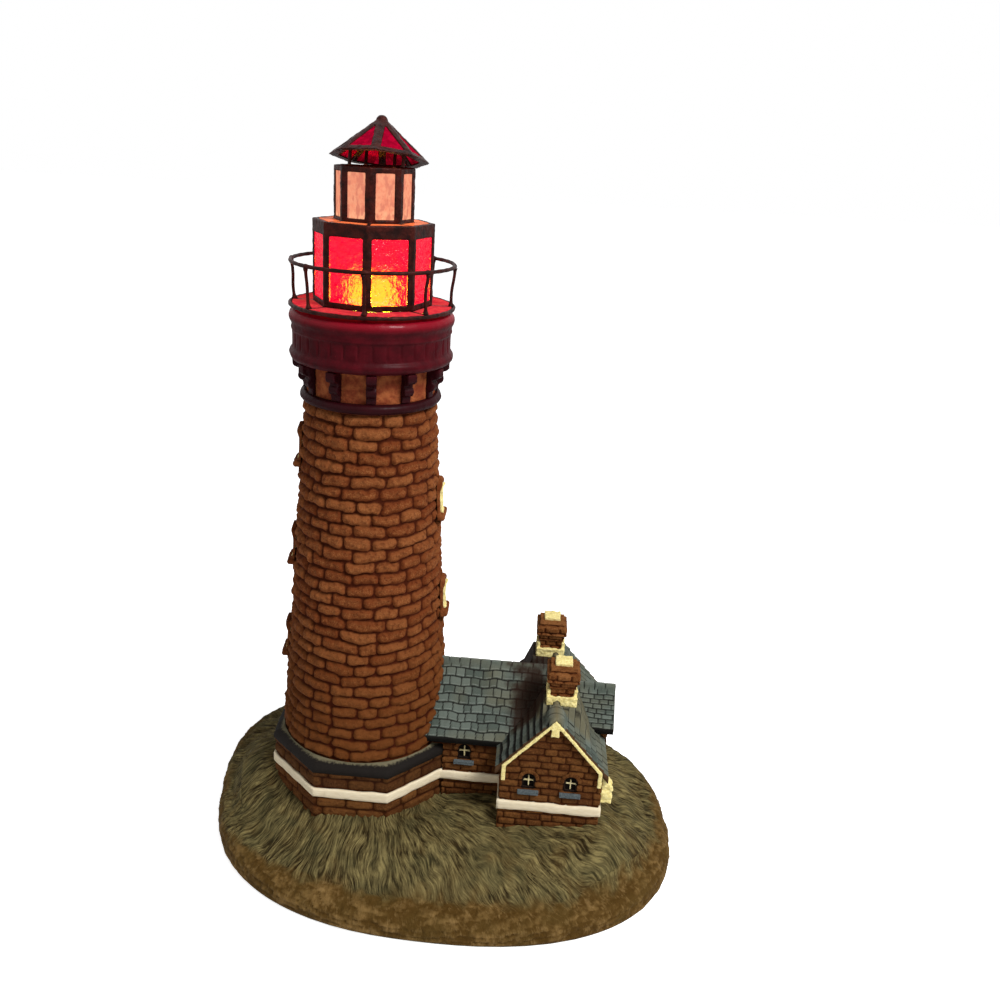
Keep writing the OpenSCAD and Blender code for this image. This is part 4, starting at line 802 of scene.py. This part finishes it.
# HOUSE STRIPE
# The tower's off-white stripe runs on round the house at the same height: a thin raised band, painted by
# hand, so its edges waver.
wing_left, wing_right, stripe_start, step_length = wing_middle - wing_half, wing_middle + wing_half, 44.0, 0.8
corners = np.array([
    (stripe_start, -hall_half), (wing_left, -hall_half), (wing_left, -wing_front), (wing_right, -wing_front),
    (wing_right, -end_half), (end_face, -end_half), (end_face, end_half), (wing_right, end_half),
    (wing_right, wing_back), (wing_left, wing_back), (wing_left, hall_half), (stripe_start, hall_half)])
walk, outward = [], []
for a, b in zip(corners[:-1], corners[1:]):
    run = b - a
    size = np.linalg.norm(run)
    steps = max(int(size / step_length), 3)
    walk += [a + run * k / steps for k in range(steps)]
    outward += [np.array([run[1], -run[0]]) / size] * steps
walk, outward = np.array(walk + [corners[-1]]), np.array(outward + outward[-1:])
mitre = outward.copy()
mitre[1:] += outward[:-1]
at_corner = np.append([False], np.linalg.norm(outward[1:] - outward[:-1], axis=1) > 0.1)
mitre[~at_corner] = outward[~at_corner]
spot = np.concatenate([walk, np.zeros((len(walk), 1))], 1)
low = stripe_low + 0.2 + uneven(spot, 6, 101, 0.9)
high = stripe_high - 0.2 + uneven(spot, 6, 102, 0.9)
proud = 0.85 + uneven(spot, 4, 103, 0.3)
# outline across the band: share of how far it stands proud, and share of its height
outline = [(-0.8, 0), (0.55, 0), (1, 0.08), (1, 0.35), (1, 0.65), (1, 0.92), (0.55, 1), (-0.8, 1)]
rings = []
for depth, rise in outline:
    height = low + (high - low) * rise
    rings.append(np.concatenate([walk + mitre * (proud * depth)[:, None], height[:, None]], 1))
faces = capped(len(walk), len(outline))
band = new_piece("house_stripe_paint", np.stack(rings, 1), faces, "house_stripe")
coat(stripe_paint, band)


# ROOFS
# Nine courses of slates on each slope with rounded ridge tiles, cast and painted blue grey. The edges of the
# slates are dry-brushed light, and painted shade lies below each course's lower edge. The slopes beside the
# chimneys are sooty, with the chimneys' painted shadow.
hall_ridge, wing_ridge, end_ridge = 104.5, 100.3, 96
hall_eave, wing_eave, end_eave = 24.8, 29.2, 13.8
hall_pitch, wing_pitch, roof_thick = 1.37, 1.12, 3.4
slope_rows, slate_wide, tile_long = 9, 5.2, 5.7
stacks = [(106.6, -21.5), (100.8, 28.5)]


def slab(name, top, under, cad_name, held):
    """Closed sheet between two grids of points."""
    rows, cols = top.shape[:2]
    first, below = np.arange(rows - 1)[:, None] * cols + np.arange(cols - 1), rows * cols
    quad = np.stack([first, first + 1, first + cols + 1, first + cols], -1).reshape(-1, 4)
    rim = [(r, 0) for r in range(rows)] + [(rows - 1, c) for c in range(1, cols)]
    rim += [(r, cols - 1) for r in range(rows - 2, -1, -1)] + [(0, c) for c in range(cols - 2, 0, -1)]
    rim = np.array([r * cols + c for r, c in rim])
    after = np.roll(rim, -1)
    wall = np.stack([rim, after, after + below, rim + below], 1)
    faces = np.concatenate([quad, quad[:, ::-1] + below, wall]).tolist()
    held = {key: np.concatenate([value.ravel(), value.ravel()]) for key, value in held.items()}
    points = np.concatenate([top.reshape(-1, 3), under.reshape(-1, 3)])
    return new_piece(name, points, faces, cad_name, held)


def slates(along, down, high, seed, joint_shade):
    """Lift in mm, tone, edge brightness and joints of slates, the joints with painted shade below each
    course's lower edge, by place along the eave and distance down from the ridge."""
    row = np.floor(down / high).astype(np.int64)
    place = along / slate_wide + 0.5 * (row % 2) + 0.16 * (dice(row, 0, 0, seed) - 0.5)
    cell = np.floor(place).astype(np.int64)

    def edge(c):
        return c + 0.34 * (dice(c, row, 2, seed) - 0.5)

    cell = cell - (place < edge(cell)) + (place >= edge(cell + 1))
    side = np.minimum(place - edge(cell), edge(cell + 1) - place) * slate_wide
    fall = down / high - row
    tilt = (dice(cell, row, 6, seed) - 0.5) * 0.4
    lift = (0.15 + 0.85 * fall) * (0.9 + tilt) * np.clip((side - 0.1) / 0.5, 0.25, 1) ** 0.7
    edge_light = unit((fall - 0.72) / 0.28) * unit(side / 0.6)
    upright = unit((side - 0.1) / 0.35) if joint_shade < 0.3 else 1
    return lift, dice(cell, row, 5, seed), edge_light, upright * unit(fall / joint_shade) ** (1 + 2 * joint_shade)


def rows_down(slope, high):
    """Distances of the rows of points down both slopes: seven to a course, and more on the ridge."""
    marks = [(k + s) * high for k in range(slope_rows) for s in (0.03, 0.16, 0.38, 0.6, 0.8, 0.92, 0.985)]
    marks = np.array([0.0, 0.35, 0.7, 1.05, 1.4, 1.7] + [m for m in marks if m > 1.9] + [slope])
    return np.concatenate([-marks[::-1], marks[1:]])[:, None]


def lay_roof(name, cad_name, half, ridge, pitch, verges, along_x, seed, start_curve=None, soot_and_shadow=None):
    """A ridge roof. verges are its two ends along the ridge, and along_x says that the ridge runs along x."""
    slope = math.hypot(half, half * pitch)
    high = slope / slope_rows
    down = rows_down(slope, high)
    off = down * half / slope
    start = verges[0] + 0 * down if start_curve is None else start_curve(off, ridge - pitch * abs(off))
    along = start + (verges[1] - start) * np.linspace(0, 1, int(abs(verges[1] - verges[0]) / 0.5))[None, :]
    down = down + 0 * along
    sheet = np.stack([along, down, 0 * down], -1)
    off = off + uneven(sheet, 6, seed + 8, 0.9) * unit(abs(down) / 3) * unit((slope - abs(down)) / 3)
    left = slates(along, abs(down), high, seed, 0.16 if along_x else 0.6)
    right = slates(along + 2.2, abs(down), high, seed + 1, 0.16)
    lift, tone, light, joint = [np.where(down < 0, a, b) for a, b in zip(left, right)]
    z = ridge - pitch * abs(off) + 1.25 * lift - 0.45 + uneven(sheet, 7, seed + 2, 0.5)
    # raised flat places that the chimneys stand on
    worn = 0 * z
    for stack_x, stack_y in () if along_x else stacks:
        stand = ridge - 1.9 - np.clip(abs(off + wing_middle - stack_x) - 9.4, 0, None) * 15 / 6 + 0.25 * lift
        near_stack = unit((12.4 - abs(along - stack_y)) / 3.4)
        raised = np.clip((stand - z) * near_stack ** 1.3, 0, None)
        z, worn = z + raised, np.maximum(worn, unit(raised / 2))
    # ridge tiles, thicker in front of the front chimney
    tile = (along / tile_long) % 1
    from_joint, tile_number = np.minimum(tile, 1 - tile), np.floor(along / tile_long).astype(np.int64)
    thick = 1.9 + (0 if along_x else 3.2) * unit((-31 - along) / 3) * unit((along + 45) / 3)
    bead = thick * (1 - 0.13 * unit(1 - from_joint / 0.09)) * (0.96 + 0.08 * dice(tile_number, 0, 0, seed))
    cap = ridge + 0.95 - thick + np.sqrt(np.clip(bead ** 2 - off ** 2, 0, None))
    on_cap = (abs(off) < bead) & (cap > z)
    z = np.where(on_cap, cap, z)
    light = np.where(on_cap, np.clip((bead - abs(off)) - 0.5, 0, 0.8), light)
    joint = np.where(on_cap, unit(from_joint / 0.1), joint)
    tone = np.where(on_cap, 0.5, tone)
    base = np.where(abs(off) < 0.5, ridge - roof_thick, ridge - pitch * abs(off) - roof_thick)
    if along_x:
        top, under = [np.stack([along, off, level], -1) for level in (z, base)]
        from_verge = np.minimum(abs(along - verges[0]), abs(verges[1] - along))
        verge = unit(1.3 - from_verge) * 0.5
    else:
        top, under = [np.stack([off + wing_middle, along, level], -1) for level in (z, base)]
        verge = unit(1.3 - abs(along - max(verges, key=abs))) * unit(abs(off) / 3 - 1)
    # soot and the chimneys' painted shadow
    dark = unit(soot_and_shadow(top[..., 0], top[..., 1]) + uneven(top, 4, seed + 3, 0.7)) if soot_and_shadow else 0 * z
    warm = unit(lumps(top, 9, seed + 5) * 1.4 - 0.5)
    if not along_x:
        warm = np.maximum(warm, 1.7 * np.maximum(unit(1 - abs(off) / 5), 0.7 * worn * (along < 0)))
    held = {"light": light, "tone": tone, "joint": joint, "soot_and_shadow": dark, "warm": warm, "verge": verge}
    if not along_x:
        # turned over, so that its faces look out
        top, under = top[::-1], under[::-1]
        held = {key: value[::-1] for key, value in held.items()}
    return slab(name, top, under, cad_name, held)


def from_tower(off, z):
    """Where the hall's roof starts, inside the tower's brickwork."""
    return np.sqrt(np.clip((tower_reach(z) - 5) ** 2 - off ** 2, 900, None))


def soot_and_shadow_marks(x, y):
    """Soot and the chimneys' painted shadow, from 0 to 1, on the slopes left of the two chimneys."""
    front, rear = np.hypot((x - 91) / 9, (y + 14) / 11), np.hypot((x - 91) / 15, (y - 22) / 24)
    return unit(1.7 - np.minimum(front, rear)) * unit((104 - x) / 2)


def painted_slates():
    light, tone, joint = [held_value(k) for k in ("light", "tone", "joint")]
    soot_and_shadow, warm, verge = [held_value(k) for k in ("soot_and_shadow", "warm", "verge")]
    speck = grain(0.6, 3)
    colour = mix(fade_in(tone + 0.8 * (speck - 0.5), 0.0, 1.0), "#485049", "#606860")
    colour = mix(fade_in(light + 0.7 * (speck - 0.5), 0.5, 1.05) * 0.6, colour, "#828a82")
    colour = mix(warm * 0.5, colour, "#6c6246")
    # dark joints, with painted shade below each course's lower edge
    colour = mix(fade_in(joint + 0.5 * (grain(1.4, 3) - 0.5), 0.1, 0.95), "#1a1917", colour)
    colour = mix(fade_in(verge + 0.4 * (speck - 0.5), 0.3, 0.9), colour, "#4a3320")
    # soot and the chimneys' painted shadow, dark brown
    colour = mix(fade_in(soot_and_shadow + 0.6 * (grain(2.2, 3) - 0.5), 0.1, 0.9) * 0.9, colour, "#2b1a12")
    return surface(colour, 0.68 + 0.2 * speck, bumps(0.6 * speck + grain(1.7, 3), 0.26), 0.08)


hall, wing = (hall_eave, hall_ridge, hall_pitch), (wing_eave, wing_ridge, wing_pitch)
roofs = [
    lay_roof("hall_slates", "hall_roof", *hall, (36, 104), True, 31, from_tower, soot_and_shadow_marks),
    lay_roof("front_wing_slates", "front_roof", *wing, (-44.1, 0), False, 35, None, soot_and_shadow_marks),
    lay_roof("rear_wing_slates", "rear_roof", *wing, (0.1, 47.4), False, 39, None, soot_and_shadow_marks),
    lay_roof("end_bay_slates", "end_roof", end_eave, end_ridge, hall_pitch, (105, 136.8), True, 43)]
coat(finish("painted_slates", painted_slates), *roofs)


# CHIMNEYS
# Two brick stacks with corbelled heads stand on the cross wing's ridge. Cream flashing steps round their
# feet, and cream paint lies on their tops and a little way down the front.
cap_half, cap_back, cap_kept, lip = 12, 7, 0.55, 2
chimney_paint = finish("painted_chimney_brick", painted_bricks("#421f0c", "#5e3417", "#7c4e2a", "#96693e"))
chimney_castings = [("front_chimney_brickwork", "front_chimney", 51),
                    ("rear_chimney_brickwork", "rear_chimney", 53)]
for (name, cad_name, seed), (stack_x, stack_y) in zip(chimney_castings, stacks):
    chimney = cast(name, cad_name, 0.36, 3, 0.15, seed)
    points, normals = spread(chimney)
    x, y, z = points.T
    along = (x - stack_x) * np.sign(-normals[:, 1] + 0.01) + (y - stack_y)
    height, tone = brickwork(along, z - wing_ridge, 7.2, 4.4, seed, 0.2, 0.9, 1.3)
    upright = unit(1.6 - 2 * abs(normals[:, 2]))
    move(chimney, points + normals * ((0.9 * height - 0.7) * upright)[:, None])
    hold_bricks(chimney, np.maximum(height, 1 - upright), tone)
    coat(chimney_paint, chimney)
flashing = cast("chimney_flashing_strips", "chimney_flashings", 0.34, 1, 0.6, 57, 1.8)
caps = cast("chimney_cap_paint", "chimney_caps", 0.28, 1, 0.5, 59, 1.7)
points, normals = spread(caps)
for stack_x, stack_y in stacks:
    x, y, z = points.T
    here, back = abs(y - stack_y) < cap_half, stack_y + cap_back
    edge = z[here].max() - lip - 1.2 * lumps(points * (1, 0, 0), 1.6, 60)
    points[:, 1] = np.where(here & (y < back), back + (y - back) * cap_kept, y)
    points[:, 2] = np.where(here & (z < edge), edge + (z - edge) * 0.3, z)
move(caps, points)
coat(cream, flashing, caps)


# BARGEBOARDS AND WINDOWS OF THE HOUSE
# Cream boards with a pendant under each gable's verges. Three small windows have an arched brick head,
# cream cross bars and a blue-grey sill. A cream framed piece stands at the wing's right front corner.
boards = cast("gable_bargeboards", "bargeboards", 0.3, 1, 0.3, 61, 2.2)
bars = cast("house_window_bars", "window_frames", 0.24, 1, 0.1, 63, 1.6)
trim = cast("corner_window_trim", "side_window_trim", 0.34, 1, 0.8, 65, 2.2)
coat(cream, boards, trim)
arches = cast("window_brick_arches", "window_arches", 0.26, 1, 0.12, 67, 1.8)


def by_window(points, reach, plain, measure):
    """What measure gives near each window, by place across it and height over its foot, or else plain."""
    x, z = points[:, 0], points[:, 2] - window_foot
    value = np.full(len(points), plain)
    for window_x, _ in house_windows:
        value = np.where(abs(x - window_x) < reach, measure(x - window_x, z), value)
    return value


def barred_cream():
    brush = grain(1.1, 3)
    colour = mix(fade_in(brush, 0.35, 0.7), "#cdbb86", "#e2d6a6")
    return surface(mix(held_value("frame"), colour, "#1d110a"), 0.6 + 0.2 * brush, bumps(brush, 0.15), 0.15)


def sill_paint():
    speck = grain(0.6, 3)
    colour = mix(fade_in(speck, 0.3, 0.75), "#434a4c", "#626a6c")
    return surface(colour, 0.65 + 0.2 * speck, bumps(speck, 0.15), 0.1)


# the frame round the cross bars is left dark
points, normals = spread(bars)
from_middle = by_window(points, 6, 9.0, lambda x, z: np.hypot(x, (z - 4.6) / 1.2))
hold(bars.data, {"frame": unit((from_middle - 2.35 + uneven(points, 1.5, 64, 1.1)) / 0.25)})
coat(finish("barred_cream", barred_cream), bars)
points, normals = spread(arches)
fan = by_window(points, 7, 0.0, lambda x, z: abs((np.arctan2(z - 6.5, x) * 7 / math.pi) % 1 - 0.5) * 2)
hold_bricks(arches, unit((1 - fan) / 0.25), lumps(points, 3, 69))
coat(house_paint, arches)
sills = cast("window_sill_ledges", "window_sills", 0.28, 2, 0.15, 71, 2.0)
coat(finish("sill_paint", sill_paint), sills)


# SOCKET
# A brass plate on the tower's ledge carries a threaded pipe, two nuts, and a phenolic socket with a brass
# shell. Two cream leads run down inside the tower to yellow connectors.
def worn_brass():
    tarnish, scratch = grain(3, 3), grain(0.4, 2, (1, 1, 0.1))
    colour = mix(fade_in(tarnish, 0.35, 0.7), "#8a6f32", "#cfae5c")
    return surface(colour, 0.24 + 0.25 * scratch, bumps(scratch, 0.03)) | {"Metallic": 1.0}


def bulb_metal():
    scratch = grain(0.5, 2, (1, 1, 0.2))
    colour = mix(grain(2), "#b8a878", "#dccf9e")
    return surface(colour, 0.2 + 0.25 * scratch, bumps(scratch, 0.03)) | {"Metallic": 1.0}


brass_nodes = ("socket_plate", "lamp_pipe", "pipe_nuts", "socket_shell", "socket_contact")
coat(finish("worn_brass", worn_brass), *[cad[k] for k in brass_nodes])
coat(finish("phenolic", one_grain("#0f0c0b", "#2a211c", 0.3, 0.05, 0.8, 3)), cad["socket_body"])
lead_sleeve = one_grain("#b9ae93", "#e6dcc2", 0.7, 0.05, 0.4, 2, (1, 1, 0.4))
coat(finish("lead_sleeve", lead_sleeve), cad["socket_leads"])
coat(finish("connector_plastic", one_grain("#9a7a22", "#cfa73a", 0.4, 0.05, 0.7, 2)), cad["wire_nuts"])
coat(finish("bulb_metal", bulb_metal), cad["bulb_tip"], cad["bulb_cap"], cad["bulb_filament"])


# BULB
# A small bulb on a candelabra cap, lit. It is whitest in its lower half, yellow above, and dark amber at its
# ends.
def lit_glass():
    height = own_height() + 0.002 * grain(4, 2)
    lit = fade_in(height, 0.276, 0.283) * (1 - fade_in(height, 0.306, 0.3175))
    white = fade_in(height, 0.278, 0.284) * (1 - fade_in(height, 0.291, 0.299))
    glow = mix(lit ** 3, "#16100a", mix(white, "#fff210", "#fff4b0"))
    return {"Base Color": mix(grain(4), "#3a2c10", "#4e3c18"), "Roughness": 0.1, "Emission Color": glow,
            "Emission Strength": 110.0}


coat(finish("lit_glass", lit_glass), cad["bulb_glass"])


# GLASS TOP
# Stained glass in copper foil: salmon panes in the deck, eight red panes round the bulb, an orange shelf and
# peach panes above. Dark soldered strips with soft beads join the panes. The bulb's light in the panes is
# painted glow, darker and pinker towards the top of the peach panes.
def dark_solder():
    speck, cloud = grain(0.7, 3), grain(4, 3)
    colour = mix(fade_in(cloud, 0.3, 0.7), "#1c0806", "#3e130d")
    colour = mix(fade_in(speck + 0.3 * cloud, 0.8, 1.0) * 0.5, colour, "#6d3f32")
    return surface(colour, 0.34 + 0.3 * speck, bumps(speck + grain(2, 3), 0.16), 0.12) | {"Metallic": 0.35}


def lit_pane(glass, glow, strength, ripple, smudge=None, fades=None, clear=0.0, rough=0.15, depth=0.5):
    """Coloured glass with the bulb's light in it: two glass colours, two glow colours and a ripple size.
    smudge is a colour with its size and range of noise, fades a colour with the heights it comes in over."""
    def recipe():
        wave = grain(ripple, 3)
        light = mix(fade_in(0.6 * wave + 0.5 * grain(ripple * 2.5, 2), 0.35, 0.75), *glow)
        if smudge:
            colour, size, low, high = smudge
            light = mix(fade_in(grain(size, 4, (1, 1, 0.45)), low, high) * 0.85, light, colour)
        if fades:
            light = mix(risen(*fades[1:]) * 0.7, light, fades[0])
        return surface(mix(wave, *glass), rough, bumps(wave, depth), 0.0) | {
            "Transmission Weight": clear, "IOR": 1.3, "Emission Color": light, "Emission Strength": strength}
    return recipe


solder = finish("dark_solder", dark_solder)
strips = [("deck_solder_strips", "deck_came", 0.36), ("lower_lantern_strips", "lower_came", 0.36),
          ("upper_lantern_strips", "upper_came", 0.34)]
for name, cad_name, voxel in strips:
    coat(solder, cast(name, cad_name, voxel, 2, 0.22, 73, 2.4, "lantern"))
coat(finish("red_glass", lit_pane(
    ("#421310", "#501a14"), ("#f4002c", "#ff0038"), 0.94, 2.4, clear=0.95, rough=0.12,
    depth=1.6)), cad["lower_panes"])
coat(finish("salmon_glass", lit_pane(
    ("#841420", "#a82834"), ("#d8283c", "#ff5a50"), 0.45, 3.0, rough=0.4)), cad["deck_panes"])
coat(finish("orange_glass", lit_pane(
    ("#c85428", "#e07844"), ("#cf5630", "#ff9560"), 0.4, 3.0, clear=0.2)), cad["shelf_panes"])
coat(finish("peach_glass", lit_pane(
    ("#5c3020", "#744838"), ("#ee9a72", "#ffd09c"), 1.15, 1.6, smudge=("#a06a58", 2.2, 0.5, 0.62),
    fades=("#c8705c", 322, 343), clear=0.1)), cad["upper_panes"])
coat(finish("crimson_glass", lit_pane(
    ("#70021a", "#8c0424"), ("#8a041e", "#e40c3a"), 0.36, 1.8,
    smudge=("#4a0412", 3.0, 0.42, 0.58))), cad["roof_panes"])


# RAILING
# Eight wires soldered to the deck's edge carry a round wire rail, with a blob of solder at each joint.
deck_top, rail_z, rail_radius, rail_wire, post_foot = 294.95, 313.95, 38.7, 0.9, 37.4
first_post, post_wire, post_count, post_sides = 3.8, 0.75, 8, 12
post_rises = np.array([0, 0.02, 0.05, 0.09, 0.14, 0.2, 0.35, 0.5, 0.65, 0.8, 0.87, 0.92, 0.96, 1.0])


def bend_post(k):
    """Points of one post, a wire that was bent by hand and swells at its foot and head."""
    turn = math.radians(-90 + first_post + 45 * k)
    out = np.array([math.cos(turn), math.sin(turn), 0])
    side = np.array([-math.sin(turn), math.cos(turn), 0])
    foot_z, head_z = deck_top + 0.1, rail_z - rail_wire
    blobs = post_wire + 0.75 * bell(post_rises, 0.07) + 0.45 * bell(1 - post_rises, 0.06)
    points = []
    for rise, r in zip(post_rises, blobs):
        reach = post_foot + (rail_radius - post_foot) * rise + 0.25 * math.sin(7 * rise + k)
        middle = out * reach + side * 0.3 * math.sin(5 * rise + 2 * k)
        middle = middle + (0, 0, foot_z + (head_z - foot_z) * rise)
        for a in np.arange(post_sides) * 2 * math.pi / post_sides:
            spoke = out * math.cos(a) + side * math.sin(a)
            points.append(middle + spoke * r * (1 + 0.06 * math.sin(3 * a + k)))
    return points


def bend_rail(share, radius, z):
    skin = drum(share, 38, 0 * z)
    at_post = bell((share * 360 - first_post + 22.5) % 45 - 22.5, 1.6)
    fat = 1 + 0.35 * at_post + 0.05 * np.sin(37 * share * 2 * np.pi)
    radius = rail_radius + (radius - rail_radius) * fat + uneven(skin, 20, 95, 0.25)
    return radius, rail_z + (z - rail_z) * fat + uneven(skin, 22, 96, 0.3), {}


faces, post_size = capped(len(post_rises), post_sides), len(post_rises) * post_sides
faces = [[i + k * post_size for i in face] for k in range(post_count) for face in faces]
posts = new_piece("railing_wires", [bend_post(k) for k in range(post_count)], faces, "railing_posts",
                  body="lantern")
rail = turned("railing_hoop", arc(rail_radius, rail_z, rail_wire, 0, 324, 10), 320, bend_rail, "railing_ring",
              "lantern")
coat(solder, posts, rail)


# ROOF OF THE LANTERN
# Eight crimson panes meet in wide soldered ridges and a blunt tip. Four short wires under it rest on the
# lantern's rim, and it sits askew.
ridges = cast("roof_solder_ridges", "roof_came", 0.34, 2, 0.25, 83, 2.4, "roof")
coat(solder, ridges, cad["roof_feet"])


# STUDIO
# Pale floor, white surroundings, one large soft lamp from the front right and a weak one from the left.
floor_half, lamps_aim = 6, (0.04, 0, 0.15)
floor = bpy.data.objects.new("floor", bpy.data.meshes.new("floor"))
floor_corners = [(floor_half * a, floor_half * b, 0) for a, b in ((-1, -1), (1, -1), (1, 1), (-1, 1))]
floor.data.from_pydata(floor_corners, [], [(0, 1, 2, 3)])
scene.collection.objects.link(floor)


def pale_floor():
    seen = Paint.node("LightPath", output="Is Camera Ray")
    return {"Base Color": mix(grain(400), "#f4f4f4", "#f8f8f8"), "Roughness": 0.9,
            "Emission Color": mix(seen, "#000000", "#ffffff"), "Emission Strength": 0.8}


coat(finish("pale_floor", pale_floor), floor)
world = bpy.data.worlds.new("surroundings")
scene.world = world
world.use_nodes = True
Paint.tree = world.node_tree
Paint.tree.nodes.clear()
rays = [Paint.node("LightPath", output=f"Is {kind} Ray") for kind in ("Camera", "Glossy", "Transmission")]
seen = Paint.maths("MAXIMUM", Paint.maths("MAXIMUM", rays[0], rays[1]), rays[2])
# full white where it is seen, and weaker as a light
light = Paint.node("Background", {}, {"Color": (1, 1, 1, 1), "Strength": 0.24 + 0.76 * seen})
shown = Paint.tree.nodes.new("ShaderNodeOutputWorld")
Paint.tree.links.new(light.socket, shown.inputs["Surface"])
lamps = [("key_lamp", (0.774, -0.66, 1.35), 0.5, 26), ("fill_lamp", (-1.1, -0.7, 0.6), 1.2, 2.0)]
for name, place, size, power in lamps:
    lamp = bpy.data.objects.new(name, bpy.data.lights.new(name, "AREA"))
    lamp.data.size, lamp.data.energy = size, power
    lamp.location = place
    lamp.rotation_mode = "QUATERNION"
    lamp.rotation_quaternion = Vector(np.array(lamps_aim) - np.array(place)).to_track_quat("-Z", "Y")
    scene.collection.objects.link(lamp)
scene.view_settings.view_transform = "Standard"
